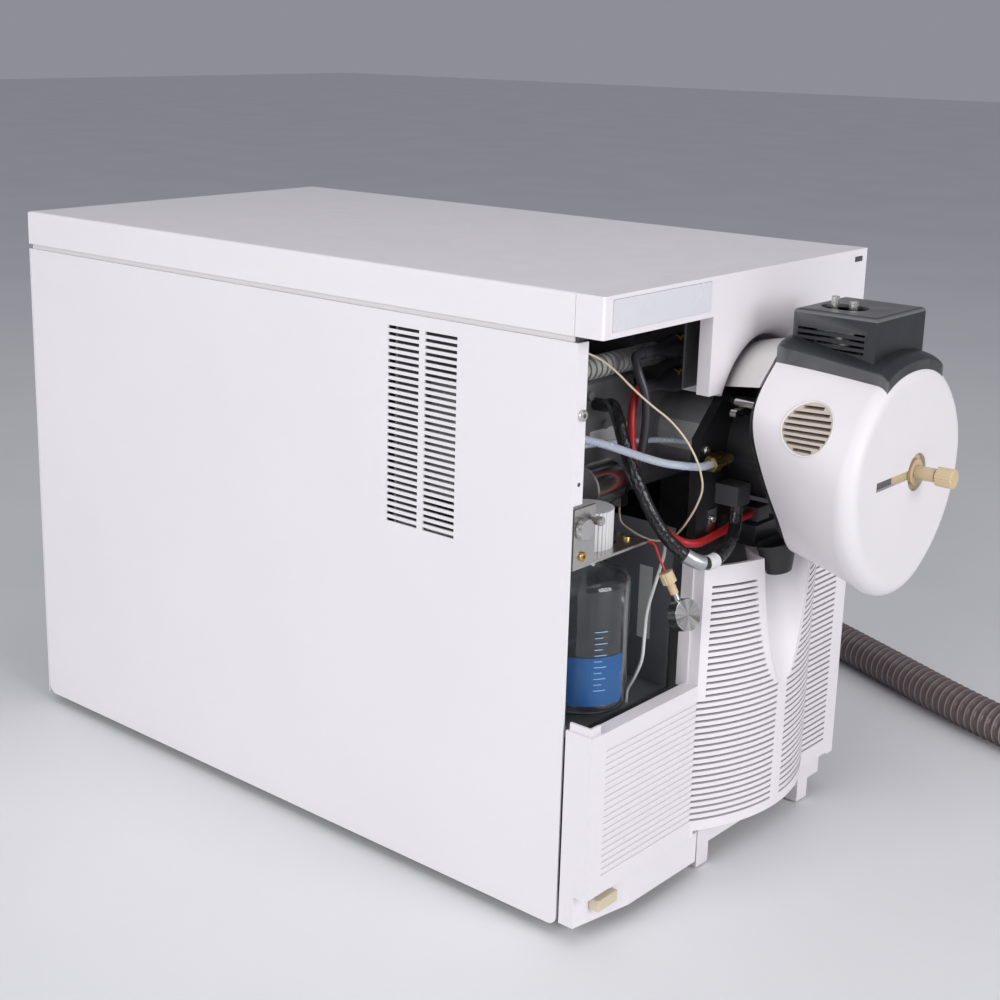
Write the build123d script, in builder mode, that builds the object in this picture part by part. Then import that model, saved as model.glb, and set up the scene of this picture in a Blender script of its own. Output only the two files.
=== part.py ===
"""Bench mass spectrometer with its spray source, open front bay and foreline hose.

Lengths are in millimetres, +Z is up and the front faces -Y.  The origin lies on the
table, under the middle of the instrument's outer box, measured without the hose.
Inside this file a place is given as (u, v, w): the distance to the right of the case's
left side, behind the upper bezel's face, and above the lower edge of the side panels.
"""

import math
import os

from build123d import *

os.makedirs("parts", exist_ok=True)

# ---------------------------------------------------------------- case
case_width = 368.0
case_depth = 660.0
case_height = 480.0
foot_height = 8.0
foot_radius = 14.0
foot_inset = 40.0
sheet = 1.5
lid_flange = 30.0
lid_gap = 4.5
lid_bend = 2.5
panel_return = 12.0
panel_front = 20.5
panel_corner = 8.0
return_length = 116.5
joggle = 3.0
seam = 0.3
bulkhead_place = 190.0
bulkhead_thick = 2.0
pan_height = 30.0
frame_thick = 1.5
frame_rim = 9.5

# side vents: columns of level slots
vent_columns = 2
vent_rows = 30
vent_front = 129.5
vent_slot_length = 31.5
vent_slot_height = 2.6
vent_web = 6.0
vent_pitch = 5.22
vent_drop = 197.8

# ---------------------------------------------------------------- bezels
bezel_depth = 24.0
bezel_wall = 3.0
bezel_edge = 2.0
bay_right = 136.5
band_height = 30.0
bay_top = case_height - band_height
bay_rim = 11.0
leg_drop = 60.0
leg_level = bay_top - leg_drop
plate_length = 122.0
plate_height = 22.5
plate_left = 10.0
plate_drop = 3.0
plate_thick = 0.8
lamp_length = 12.0
lamp_height = 4.0
lamp_right = 8.0
lamp_drop = 6.0

source_u = 224.0
arch_drop = 30.0
arch_level = leg_level - arch_drop
arch_radius = 79.0
arch_flare = 15.0
hood_depth = 40.0

lower_proud = 6.0
lower_drop = 222.0
lower_top = case_height - lower_drop
bezel_joint = 2.0
bezel_split = lower_top + bezel_joint
ledge_level = 161.0
ledge_depth = 12.0
rib_height = 6.0
bow_half = 87.0
bow_rise = 25.0
skirt_level = 37.0
rabbet_level = 31.0
plinth_level = 5.0
plinth_back = 1.0
plinth_right = 150.0
step_level = 9.0
right_level = 29.0
right_step = 8.0
toe_bottom = -6.5
toe_width = 17.0
toe_depth = 18.0
toe_left = 160.0
toe_right = 321.0
pocket_depth = 11.0
pocket_length = 58.0

slit_pitch = 5.26
slit_height = 2.0
slit_level = 46.5
slit_margin = 12.0
slit_rows = 1 + int((lower_top - slit_margin - slit_level) / slit_pitch)
lower_rows = 1 + int((ledge_level - slit_margin - slit_level) / slit_pitch)
slit_end = 350.0
ridge_half = 4.0
groove_depth = 0.8
groove_left = 18.0
scoop_drop = 118.0
scoop_level = lower_top - scoop_drop
scoop_low_radius = 28.0
scoop_top_radius = 37.0
scoop_top_depth = 35.0
scoop_margin = 7.0

button_length = 24.0
button_height = 9.0
button_left = 16.0
button_level = 16.5
button_travel = 3.0
button_gap = 0.4

# ---------------------------------------------------------------- source
drum_radius = 90.5
drum_drop = 151.0
drum_level = case_height - drum_drop
drum_face = 122.0
drum_back = 38.0
drum_round = 12.0
drum_wall = 3.0
hollow_step = 9.0
back_plate_thick = 8.0
grille_radius = 17.5
grille_behind = 42.5
grille_level = drum_level + 49.0
grille_gap = 2.3
grille_pitch = 4.2
grille_slots = 8
probe_u = 235.0
probe_level = drum_level + 8.0
needle_hole = 16.0
probe_hole = 14.5
probe_slot_end = 172.0
probe_slot_height = 7.0
probe_plate_thick = 3.0
barrel_radius = 5.3
barrel_reach = 15.0
neck_radius = 3.2
neck_length = 2.0
knob_radius = 7.4
knob_length = 13.0
knob_gap = 0.3
cap_half_width = 38.0
cap_front = 105.0
cap_top = drum_level + 127.0
cap_wall = 2.5
saddle_rise = 7.0
saddle_front = 120.0
saddle_front_half = 44.0
saddle_back_half = 59.0
saddle_front_drop = 72.0
saddle_back_drop = 87.0
nozzle_u = 215.0
nozzle_ahead = 64.0
oval_length = 36.0
oval_width = 26.0
cap_slots = 4
cap_slot_ends = (96.0, 42.0)
cap_slot_height = 1.9
cap_slot_pitch = 4.3

mount_left = 142.0
mount_right = 286.0
mount_bottom = drum_level - 65.0
mount_top = drum_level + 59.0
mount_front = 8.0
mount_thick = 8.0
boss_radius = 44.0
bore_radius = 20.0
boss_level = drum_level + 11.0
boss_gap = 0.3
hinge_u = 306.0
hinge_ahead = 22.0
hinge_radius = 6.0
pin_radius = 3.0
pin_clearance = 0.05
knuckle_low = drum_level - 24.0
knuckle_height = 20.0
leaf_gap = 0.3
leaf_height = 39.4
lever_u = 184.0
lever_level = drum_level + 50.0
lever_length = 40.0
lever_width = 6.0
lever_thick = 5.0
lever_gap = 0.3
lever_back = 16.0
lever_bore = 3.0
keeper_radius = 3.0
keeper_along = 10.0
keeper_length = 17.0
leaf_width = 14.0
plate_flange = 2.0
plate_insets = (2.0, 9.0)
shroud_gap = 0.5
shroud_back = 10.0
shroud_radius = 60.0
shroud_wall = 3.0
shroud_end = 268.0
shroud_ends = (62.0, 72.0)
mount_clip = 22.0
mount_left_clip = 34.0
tube_radius = 32.0
spout_top = (26.0, 12.0)
spout_tip = (15.0, 8.0)
spout_ahead = (16.0, 20.0)
spout_drop = 24.0
spout_wall = 2.0
knob_flutes = 20
sprayer_radius = 11.0
sprayer_flange = 19.0
sprayer_top = cap_top - 10.0
head_half = (14.0, 16.0)
adjuster_spots = ((212.0, -57.0), (216.0, -70.0))
adjuster_radii = (3.0, 3.6)
adjuster_rises = (18.0, 15.0)
adjuster_stem = 1.5
adjuster_flutes = 12

# ---------------------------------------------------------------- front bays
liner_level = 150.0
liner_right = 142.5
post_radius = 4.0
shelf_rise = 23.0
shelf_level = lower_top + shelf_rise
shelf_sheet = 2.0
shelf_right = 98.0
shelf_front = 20.0
tab_right = 28.0
tab_height = 45.0
screw_u = 12.0
screw_level = shelf_level + 30.0
screw_radius = 8.0
screw_thick = 5.0
screw_flutes = 16
shank_radius = 3.0
shank_clearance = 0.05
bottle_u = 56.0
bottle_place = 48.0
bottle_radius = 35.0
bottle_floor = 160.0
bottle_wall = 1.5
shoulder_drop = 26.0
neck_drop = 6.0
neck_radius_bottle = 13.0
neck_rise = 24.0
neck_gap = 0.3
cap_radius = 20.0
cap_height = 29.0
cap_ribs = 36
optics_left = 172.0
optics_right = 330.0
optics_front = 84.0
optics_floor = boss_level - 44.0
optics_top = boss_level + 36.0
terminal_left = 196.0
terminal_width = 44.0
terminal_depth = (42.0, 110.0)
terminal_height = 54.0
manifold_left = 40.0
manifold_front = 92.0
manifold_top = optics_top + 14.0
stud_spots = ((112.7, 379.6), (133.6, 353.5))
stud_radius = 3.5
boot_behind = 60.0
boot_tips = (134.0, 138.0)
boot_rises = (38.0, 11.0)
boot_radius = 10.0
boot_tip_radius = 4.5
duct_behind = 84.0
duct_rise = 28.0
duct_radius = 7.5
duct_rib = 1.5
duct_pitch = 7.0
pump_span = (80.0, 116.0)
pump_behind = 72.0
pump_level = 316.0
pump_radius = 17.0
socket_blocks = (
    ((167.0, 185.0), (-12.0, 8.0), (300.0, 316.0)),
    ((204.0, 222.0), (-9.0, 8.0), (280.0, 291.0)),
)
brass_start = 143.0
brass_ahead = -1.0
brass_level = 337.0
filter_centre = (105.0, -9.5, 229.0)
filter_up = (-0.208, 0.375, 0.903)
filter_axis = (-0.206, -0.928, 0.309)
filter_radius = 12.5
filter_thick = 10.0
filter_stem = 18.0
fitting_length = 18.0

# routes and radii of the leads and tubes held inside the bays
loom_radius = 5.0
loom_route = (
    (121.0, 92.0, 372.0),
    (121.0, 82.0, 372.0),
    (112.0, 69.0, 377.0),
    (101.0, 56.0, 371.0),
    (96.0, 45.0, 351.0),
    (94.0, 32.0, 328.0),
    (97.0, 20.0, 305.0),
    (101.0, 6.0, 285.0),
    (108.0, -10.0, 272.0),
    (123.0, -17.0, 266.0),
    (143.0, -17.0, 270.0),
    (162.0, -13.0, 278.0),
    (173.0, -8.0, 283.0),
    (176.0, -6.0, 292.0),
    (176.0, -6.0, 300.0),
)
supply_radius = 3.2
supply_route = (
    (138.0, 60.0, 387.0),
    (129.0, 60.0, 387.0),
    (120.0, 57.0, 369.0),
    (118.0, 53.0, 338.0),
    (119.0, 46.0, 314.0),
    (120.0, 34.0, 296.0),
    (118.0, 20.0, 285.0),
    (120.0, 6.0, 279.0),
    (132.0, 1.0, 276.0),
    (155.0, 3.0, 275.0),
    (178.0, 2.0, 278.0),
    (192.0, -2.0, 285.5),
    (204.0, -2.0, 285.5),
)
signal_radius = 3.5
signal_route = (
    (134.0, 60.0, 414.0),
    (125.0, 60.0, 414.0),
    (121.0, 53.0, 402.0),
    (124.0, 47.0, 386.0),
    (125.0, 46.0, 366.0),
    (124.0, 48.0, 343.0),
    (127.0, 55.0, 320.0),
    (134.0, 66.0, 307.0),
    (140.0, 80.0, 305.0),
    (140.0, 92.0, 305.0),
)
capillary_radius = 0.8
capillary_route = (
    (8.0, 25.5, 441.0),
    (8.0, 32.0, 441.0),
    (19.0, 36.0, 437.0),
    (38.0, 31.0, 429.0),
    (58.0, 30.0, 417.0),
    (77.0, 27.0, 401.0),
    (93.0, 21.0, 387.0),
    (106.0, 12.0, 375.0),
    (112.0, 1.0, 361.0),
    (119.0, -6.0, 343.0),
    (128.0, -6.0, 322.0),
    (130.0, 2.0, 303.0),
    (131.0, 14.0, 284.0),
    (133.0, 26.0, 273.0),
    (128.0, 38.0, 271.0),
    (122.0, 49.0, 276.0),
    (120.5, 62.0, 282.0),
    (120.5, 64.0, 289.0),
    (120.5, 64.0, 296.0),
)
gas_tube_radius = 3.0
gas_tube_route = (
    (1.5, 35.0, 376.0),
    (15.0, 35.0, 376.0),
    (30.0, 32.5, 370.0),
    (46.0, 30.5, 365.0),
    (64.0, 27.0, 358.0),
    (83.0, 21.0, 350.0),
    (101.0, 13.0, 343.0),
    (119.0, 4.0, 339.0),
    (131.0, -1.0, 337.0),
    (143.0, -1.0, 337.0),
)
vent_tube_radius = 2.2
vent_tube_route = (
    (1.5, 66.0, 356.0),
    (30.0, 66.0, 356.0),
    (55.0, 67.0, 353.0),
    (78.0, 67.0, 351.0),
    (108.0, 67.0, 348.0),
    (130.0, 62.0, 346.0),
    (144.0, 48.0, 347.0),
    (150.0, 32.0, 348.0),
    (150.0, 16.0, 348.0),
)
drip_tube_radius = 1.3
drip_tube_route = (
    (141.0, 30.0, 272.0),
    (135.0, 30.0, 272.0),
    (126.0, 24.0, 265.0),
    (108.0, 19.0, 247.0),
    (95.0, 17.0, 228.0),
    (92.0, 16.0, 208.0),
    (94.0, 18.0, 188.0),
    (94.0, 25.0, 171.0),
    (94.0, 31.0, 160.0),
    (94.0, 31.0, 150.0),
)
filter_tube_radius = 0.9

# ---------------------------------------------------------------- rear
fan_inset = 118.0
fan_drop = 150.0
fan_rings = 4
fan_ring_pitch = 11.0
fan_hole_radius = 3.6
inlet_u = 70.0
inlet_level = 70.0
inlet_width = 32.0
inlet_height = 25.0
inlet_depth = 22.0
gas_radius = 5.0
gas_spots = ((310.0, 180.0), (335.0, 180.0))
gas_reach = 18.0
socket_width = 34.0
socket_height = 14.0
socket_spots = ((70.0, 150.0), (120.0, 150.0))
port_u = 262.0
port_level = 56.0
port_radius = 12.5
port_wall = 2.0
port_bend = 34.0
port_reach = 46.0
port_end = 330.0
flange_radius = 20.0
flange_thick = 3.0
clamp_radius = 25.0
clamp_width = 12.0
hose_radius = 19.0
hose_bore = 14.0
hose_end_length = 24.0
hose_route = (
    (330.0, 706.0, 56.0),
    (480.0, 706.0, 56.0),
    (630.0, 636.0, 30.0),
    (733.0, 512.0, 11.0),
    (751.0, 356.0, 11.0),
    (663.0, 140.0, 11.0),
    (545.0, -118.0, 11.0),
    (528.0, -260.0, 11.0),
)

# ---------------------------------------------------------------- frame
source_reach = drum_face + barrel_reach + neck_length + knob_length
rear_reach = 66.0
left = -case_width / 2
front = (source_reach - case_depth - rear_reach) / 2
base = foot_height


def level(w):
    """Level plane at height w; its own axes are u and v."""
    return Plane(origin=(left, front, base + w), x_dir=(1, 0, 0), z_dir=(0, 0, 1))


def facing(v):
    """Plane across the case at depth v, facing the front; its own axes are u and w."""
    return Plane(origin=(left, front + v, base), x_dir=(1, 0, 0), z_dir=(0, -1, 0))


def beside(u):
    """Plane along the case at u, facing right; its own axes are v and w."""
    return Plane(origin=(left + u, front, base), x_dir=(0, 1, 0), z_dir=(1, 0, 0))


def place(u, v, w):
    """Location of (u, v, w) in the part's own frame."""
    return Location((left + u, front + v, base + w))


def block(u, v, w, mode=Mode.ADD):
    """Rectangular block between the given pairs of limits."""
    middle = [(low + high) / 2 for low, high in (u, v, w)]
    with Locations(place(*middle)):
        return Box(*[high - low for low, high in (u, v, w)], mode=mode)


def rod(plane, centre, radius, length, mode=Mode.ADD):
    """Round bar that starts on a plane and runs along its normal."""
    spot = plane * Location((centre[0], centre[1], length / 2))
    with Locations(spot):
        return Cylinder(radius, abs(length), mode=mode)


def keep(piece, name):
    """Label a finished piece and write it as its own STEP file."""
    piece.part.label = name
    export_step(piece.part, f"parts/{name}.step")
    return piece


# ---------------------------------------------------------------- case pieces
def make_top_cover():
    """Folded lid: a flat top with flanges down both sides and the back."""
    start = bezel_depth + seam
    low = case_height - lid_flange
    with BuildPart() as cover:
        block((0, case_width), (start, case_depth), (low, case_height))
        long_edges = cover.edges().filter_by(Axis.Y).group_by(Axis.Z)[-1]
        rear_edges = cover.edges().filter_by(Axis.X).group_by(Axis.Z)[-1].sort_by(Axis.Y)[-1]
        fillet([*long_edges, rear_edges], lid_bend)
        block(
            (sheet, case_width - sheet),
            (start - 1, case_depth - sheet),
            (low - 1, case_height - sheet),
            mode=Mode.SUBTRACT,
        )
    return cover


def vent_slots(u, start):
    """Level slots in columns, cut through a side panel that lies at u."""
    step = vent_slot_length + vent_web
    lowest = case_height - vent_drop
    with BuildSketch(beside(u)) as slots:
        for column in range(vent_columns):
            for row in range(vent_rows):
                spot = (start + column * step + vent_slot_length / 2, lowest + row * vent_pitch)
                with Locations(spot):
                    Rectangle(vent_slot_length, vent_slot_height)
    return slots.sketch


def make_side_panel(mirrored):
    """Side panel: flat sheet with a joggled top, a front return and rounded lower corners."""
    top = case_height - lid_flange - lid_gap
    rear = case_depth - sheet - seam
    with BuildPart() as panel:
        with BuildSketch(beside(0)):
            with BuildLine():
                Polyline(
                    (panel_front, 1.0 + panel_corner),
                    (panel_front, top),
                    (rear, top),
                    (rear, 1.0 + panel_corner),
                )
                RadiusArc((rear, 1.0 + panel_corner), (rear - panel_corner, 1.0), panel_corner)
                Line((rear - panel_corner, 1.0), (panel_front + panel_corner, 1.0))
                RadiusArc(
                    (panel_front + panel_corner, 1.0),
                    (panel_front, 1.0 + panel_corner),
                    panel_corner,
                )
            make_face()
        extrude(amount=sheet)
        block((0, joggle + sheet), (bezel_depth + 2, rear), (top - sheet, top))
        block((joggle, joggle + sheet), (bezel_depth + 2, rear), (top - sheet, case_height - sheet))
        block((0, panel_return), (panel_front, panel_front + sheet), (top - return_length, top))
        extrude(vent_slots(0, vent_front), amount=sheet, mode=Mode.SUBTRACT)
        if mirrored:
            mirror(about=Plane.YZ, mode=Mode.REPLACE)
    return panel


def make_base_pan():
    """Shallow folded tray under the whole case."""
    inner = sheet + seam
    with BuildPart() as pan:
        block(
            (inner, case_width - inner),
            (bezel_depth + 2, case_depth - sheet),
            (0, pan_height),
        )
        block(
            (inner + sheet, case_width - inner - sheet),
            (bezel_depth + 2 + sheet, case_depth - 2 * sheet),
            (sheet, pan_height + 1),
            mode=Mode.SUBTRACT,
        )
    return pan


def make_feet():
    """Four round rubber feet under the tray."""
    spots = [
        (u, v)
        for u in (foot_inset, case_width - foot_inset)
        for v in (foot_inset + bezel_depth, case_depth - foot_inset)
    ]
    with BuildPart() as feet:
        with BuildSketch(level(-foot_height)):
            with Locations(*spots):
                Circle(foot_radius)
        extrude(amount=foot_height)
    return feet


def shoulder_outline():
    """Corners of a plate that fills the case between the side panels, up to the lid."""
    shoulder = case_height - lid_flange - lid_gap - sheet
    top = case_height - sheet
    right = case_width - sheet
    inner = joggle + sheet
    return shoulder, top, right, inner


def make_bulkhead():
    """Upright sheet wall behind the front bays, from the tray to the lid."""
    shoulder, top, right, inner = shoulder_outline()
    foot_inner = 2 * sheet + seam
    with BuildPart() as wall:
        with BuildSketch(facing(bulkhead_place)):
            with BuildLine():
                Polyline(
                    (foot_inner, sheet),
                    (case_width - foot_inner, sheet),
                    (case_width - foot_inner, pan_height),
                    (right, pan_height),
                    (right, shoulder),
                    (case_width - inner, shoulder),
                    (case_width - inner, top),
                    (inner, top),
                    (inner, shoulder),
                    (sheet, shoulder),
                    (sheet, pan_height),
                    (foot_inner, pan_height),
                    close=True,
                )
            make_face()
        extrude(amount=-bulkhead_thick)
    return wall


def make_front_frame():
    """Face frame that carries both bezels, open to the bays and to the source."""
    shoulder, top, right, inner = shoulder_outline()
    notch = shoulder + sheet - return_length
    hood_outer = arch_radius - arch_flare + bezel_wall + 2.0
    hood_left = source_u - math.sqrt(hood_outer**2 - (leg_level - arch_level) ** 2)
    with BuildPart() as frame:
        with BuildSketch(facing(bezel_depth)):
            with BuildLine():
                Polyline(
                    (sheet, pan_height),
                    (right, pan_height),
                    (right, shoulder),
                    (case_width - inner, shoulder),
                    (case_width - inner, top),
                    (inner, top),
                    (inner, shoulder),
                    (sheet, shoulder),
                    (sheet, notch),
                    (sheet + frame_rim, notch),
                    (sheet + frame_rim, bay_top - 4),
                    (bay_right + 2, bay_top - 4),
                    (bay_right + 2, leg_level + 2),
                    (hood_left, leg_level + 2),
                    (hood_left, leg_level),
                )
                ThreePointArc(
                    (hood_left, leg_level),
                    (source_u, arch_level + hood_outer),
                    (source_u + hood_outer, arch_level),
                )
                Polyline(
                    (source_u + hood_outer, arch_level),
                    (source_u + hood_outer, lower_top),
                    (liner_right, lower_top),
                    (liner_right, liner_level),
                    (sheet, liner_level),
                    (sheet, pan_height),
                )
            make_face()
        extrude(amount=-frame_thick)
    return frame


def make_rear_panel():
    """Rear sheet with a fan grille, an inlet cut-out and holes for the fittings."""
    top = case_height - lid_flange - lid_gap
    with BuildPart() as panel:
        block((0, case_width), (case_depth - sheet, case_depth), (1.0, top))
        with BuildSketch(facing(case_depth)):
            for fan_u in (fan_inset, case_width - fan_inset):
                for ring in range(1, fan_rings + 1):
                    with Locations((fan_u, case_height - fan_drop)):
                        with PolarLocations(ring * fan_ring_pitch, 6 * ring):
                            RegularPolygon(fan_hole_radius, 6)
            with Locations((inlet_u, inlet_level)):
                Rectangle(inlet_width, inlet_height)
            with Locations((port_u, port_level)):
                Circle(port_radius + 1)
            with Locations(*gas_spots):
                Circle(gas_radius)
            with Locations(*socket_spots):
                Rectangle(socket_width, socket_height)
        extrude(amount=sheet, mode=Mode.SUBTRACT)
    return panel


def make_power_inlet():
    """Mains inlet: a flanged body with a six-sided well and three flat pins."""
    flange = 3.0
    wide, high = inlet_width / 2, inlet_height / 2
    with BuildPart() as inlet:
        block(
            (inlet_u - wide - 4, inlet_u + wide + 4),
            (case_depth, case_depth + flange),
            (inlet_level - high - 3, inlet_level + high + 3),
        )
        block(
            (inlet_u - wide + seam, inlet_u + wide - seam),
            (case_depth - inlet_depth, case_depth),
            (inlet_level - high + seam, inlet_level + high - seam),
        )
        with BuildSketch(facing(case_depth + flange)):
            with Locations((inlet_u, inlet_level)):
                Rectangle(inlet_width - 5, inlet_height - 5)
        extrude(amount=inlet_depth - 2, mode=Mode.SUBTRACT, both=True)
    return inlet


# ---------------------------------------------------------------- bezels
def make_upper_bezel():
    """Moulded front frame: a top band, the arch hood round the source and a right leg."""
    arch_left = source_u - math.sqrt(arch_radius**2 - (leg_level - arch_level) ** 2)
    arch_right = source_u + arch_radius
    with BuildPart() as bezel:
        with BuildSketch(facing(0)):
            with BuildLine():
                Polyline(
                    (source_u + arch_radius, arch_level),
                    (arch_right, bezel_split),
                    (case_width, bezel_split),
                    (case_width, case_height),
                    (0, case_height),
                    (0, bay_top),
                    (bay_right, bay_top),
                    (bay_right, leg_level),
                    (arch_left, leg_level),
                )
                ThreePointArc(
                    (arch_left, leg_level),
                    (source_u, arch_level + arch_radius),
                    (arch_right, arch_level),
                )
            make_face()
        extrude(amount=-bezel_wall)
        block((0, bezel_wall), (0, bezel_depth), (bay_top, case_height))
        block((0, case_width), (0, bezel_depth), (case_height - bezel_wall, case_height))
        block(
            (case_width - bezel_wall, case_width),
            (0, panel_front - seam),
            (bezel_split, case_height),
        )
        block((0, bay_right), (0, bay_rim), (bay_top, bay_top + bezel_wall))
        block(
            (bay_right, bay_right + bezel_wall),
            (0, bay_rim),
            (leg_level, bay_top + bezel_wall),
        )
        block((bay_right, arch_left), (0, bay_rim), (leg_level, leg_level + bezel_wall))
        for u, w in ((20, bay_top + 13), (case_width - 20, case_height - 40)):
            rod(facing(bezel_depth), (u, w), post_radius, bezel_depth - bezel_wall + 1)
        rod(
            facing(bezel_depth),
            (case_width - 20, bezel_split + 20),
            post_radius,
            bezel_depth - bezel_wall + 1,
        )
        for plan in (level(bezel_split), level(arch_level)):
            with BuildSketch(plan) as flare:
                with BuildLine():
                    CenterArc((arch_right, arch_flare), arch_flare, 180, 90)
                    Polyline(
                        (arch_right - arch_flare, arch_flare),
                        (arch_right - arch_flare, hood_depth),
                        (arch_right - arch_flare + bezel_wall, hood_depth),
                        (arch_right - arch_flare + bezel_wall, arch_flare),
                    )
                    CenterArc((arch_right, arch_flare), arch_flare - bezel_wall, 180, 90)
                    Line((arch_right, bezel_wall), (arch_right, 0))
                make_face()
            if plan.origin.Z < base + arch_level:
                extrude(amount=arch_level - bezel_split)
            else:
                sweep_angle = 180 - math.degrees(math.asin((leg_level - arch_level) / arch_radius))
                revolve(
                    axis=Axis(place(source_u, 0, arch_level).position, (0, -1, 0)),
                    revolution_arc=sweep_angle,
                )
        front_corner = (
            bezel.edges()
            .filter_by(Axis.Z)
            .filter_by_position(Axis.X, left - 0.1, left + 0.1)
            .sort_by(Axis.Y)[0]
        )
        fillet(front_corner, bezel_edge)
        block(
            (plate_left, plate_left + plate_length),
            (-1, plate_thick + 0.2),
            (case_height - plate_drop - plate_height, case_height - plate_drop),
            mode=Mode.SUBTRACT,
        )
        block(lamp_span(0.2), (-1, bezel_wall + 1), lamp_rise(0.2), mode=Mode.SUBTRACT)
    return bezel


def lamp_span(gap=0.0):
    """Limits in u of the status lamp, widened by a gap."""
    end = case_width - lamp_right
    return end - lamp_length - gap, end + gap


def lamp_rise(gap=0.0):
    """Limits in w of the status lamp, widened by a gap."""
    top = case_height - lamp_drop
    return top - lamp_height - gap, top + gap


def bow_centre():
    """Radius and centre depth of the bowed grille's face."""
    radius = (bow_half**2 + bow_rise**2) / (2 * bow_rise)
    return radius, radius - bow_rise - lower_proud


def bow_sketch(w, inset, back):
    """Plan of the lower bezel behind its face, drawn inset from its skin to a given depth."""
    radius, middle = bow_centre()
    radius -= inset
    face = inset - lower_proud
    half = math.sqrt(radius**2 - (middle - face) ** 2)
    with BuildSketch(level(w)) as plan:
        with BuildLine():
            Polyline(
                (source_u + half, face),
                (case_width - inset, face),
                (case_width - inset, back),
                (inset, back),
                (inset, face),
                (source_u - half, face),
            )
            ThreePointArc(
                (source_u - half, face), (source_u, middle - radius), (source_u + half, face)
            )
        make_face()
    return plan.sketch


def scoop_back(w):
    """Depth of the funnel's rearmost line at a height."""
    share = (w - scoop_level) / (lower_top + 1 - scoop_level)
    return -lower_proud - bow_rise - 1.0 + share * scoop_top_depth


def scoop_radius(w):
    """Radius of the funnel at a height."""
    share = (w - scoop_level) / (lower_top + 1 - scoop_level)
    return scoop_low_radius + share * (scoop_top_radius - scoop_low_radius)


def scoop_half(w):
    """Half of the funnel's width where it meets the bowed face at a height."""
    radius = scoop_radius(w)
    depth = scoop_back(w) + lower_proud + bow_rise - 1.5
    if depth <= 0:
        return 0.0
    return math.sqrt(radius**2 - (radius - depth) ** 2)


def make_scoop(grow):
    """Oblique funnel that leaves room under the source, grown by a wall."""
    with BuildPart() as funnel:
        for w in (scoop_level, lower_top + 1):
            radius = scoop_radius(w)
            with BuildSketch(level(w)):
                with Locations((source_u, scoop_back(w) - radius)):
                    Circle(radius + grow)
        loft(ruled=True)
    return funnel


def make_scoop_wall():
    """Moulded wall of the funnel, trimmed to the bowed face."""
    with BuildPart() as wall:
        add(make_scoop(bezel_wall).part)
        extrude(
            bow_sketch(scoop_level, 0.0, 12.0),
            amount=lower_top - scoop_level,
            mode=Mode.INTERSECT,
        )
    return wall


def make_lower_bezel():
    """Moulded lower front: grooved left panel, bowed grille with a funnel, stepped foot."""
    back = bezel_depth - lower_proud
    face = -lower_proud
    inner = face + bezel_wall
    ledge = ledge_level - bezel_wall
    with BuildPart() as bezel:
        extrude(bow_sketch(rabbet_level, 0.0, back), amount=lower_top - rabbet_level)
        extrude(
            bow_sketch(rabbet_level, bezel_wall, back + 1),
            amount=lower_top - rabbet_level,
            mode=Mode.SUBTRACT,
        )
        block((-1, bay_right), (-50, back + 1), (ledge_level, lower_top + 1), mode=Mode.SUBTRACT)
        block(
            (bay_right + bezel_wall, case_width - bezel_wall),
            (-50, face),
            (rabbet_level - 1, skirt_level),
            mode=Mode.SUBTRACT,
        )
        # top ledge of the left panel with its locating rib, and the stepped jamb of the bay
        block((0, bay_right), (face, face + ledge_depth), (ledge, ledge_level))
        block((bay_right, bay_right + bezel_wall), (face, 3.0), (ledge, lower_top))
        block((bay_right - 2, bay_right + bezel_wall), (3.0, 13.0), (ledge, lower_top))
        block((2.0, 4.0), (face + 5, back - 2), (ledge, ledge_level + rib_height))
        block((2.0, 14.0), (face + 3, face + 5), (ledge, ledge_level + rib_height))
        # funnel wall and the funnel itself
        add(make_scoop_wall().part)
        add(make_scoop(0.0).part, mode=Mode.SUBTRACT)
        # plinth under the rabbet, with the slanted pocket of the power button
        with BuildSketch(level(plinth_level)):
            with BuildLine():
                Polyline(
                    (0, back),
                    (0, face + pocket_depth),
                    (pocket_length, face + plinth_back),
                    (plinth_right, face + plinth_back),
                    (plinth_right, inner + plinth_back),
                    (pocket_length, inner + plinth_back),
                    (bezel_wall, inner + pocket_depth),
                    (bezel_wall, back),
                    close=True,
                )
            make_face()
        extrude(amount=rabbet_level - plinth_level)
        with BuildSketch(level(rabbet_level)):
            with BuildLine():
                Polyline(
                    (0, face),
                    (bay_right, face),
                    (bay_right, inner + plinth_back),
                    (pocket_length, inner + plinth_back),
                    (bezel_wall, inner + pocket_depth),
                    (0, inner + pocket_depth),
                    close=True,
                )
            make_face()
        extrude(amount=2.0)
        # underside of the bowed grille, the set-back plinth and the two toes
        extrude(bow_sketch(skirt_level, 0.0, 5.0), amount=2.0)
        block((plinth_right - 4, case_width - right_step), (2.0, 5.0), (step_level, skirt_level))
        block(
            (case_width - right_step - bezel_wall, case_width),
            (face, inner),
            (right_level, skirt_level),
        )
        for toe in (toe_left, toe_right):
            block((toe, toe + toe_width), (0.0, toe_depth), (toe_bottom, skirt_level))
        for u, w in ((20, 130), (20, 50), (case_width - 14, 240), (case_width - 14, 60)):
            rod(facing(bezel_depth), (u, w), post_radius, bezel_depth - inner)
        block(
            (button_left - button_gap, button_left + button_length + button_gap),
            (-lower_proud - 2, back),
            (button_level - button_gap, button_level + button_height + button_gap),
            mode=Mode.SUBTRACT,
        )
        cut_slits(bezel)
    return bezel


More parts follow.
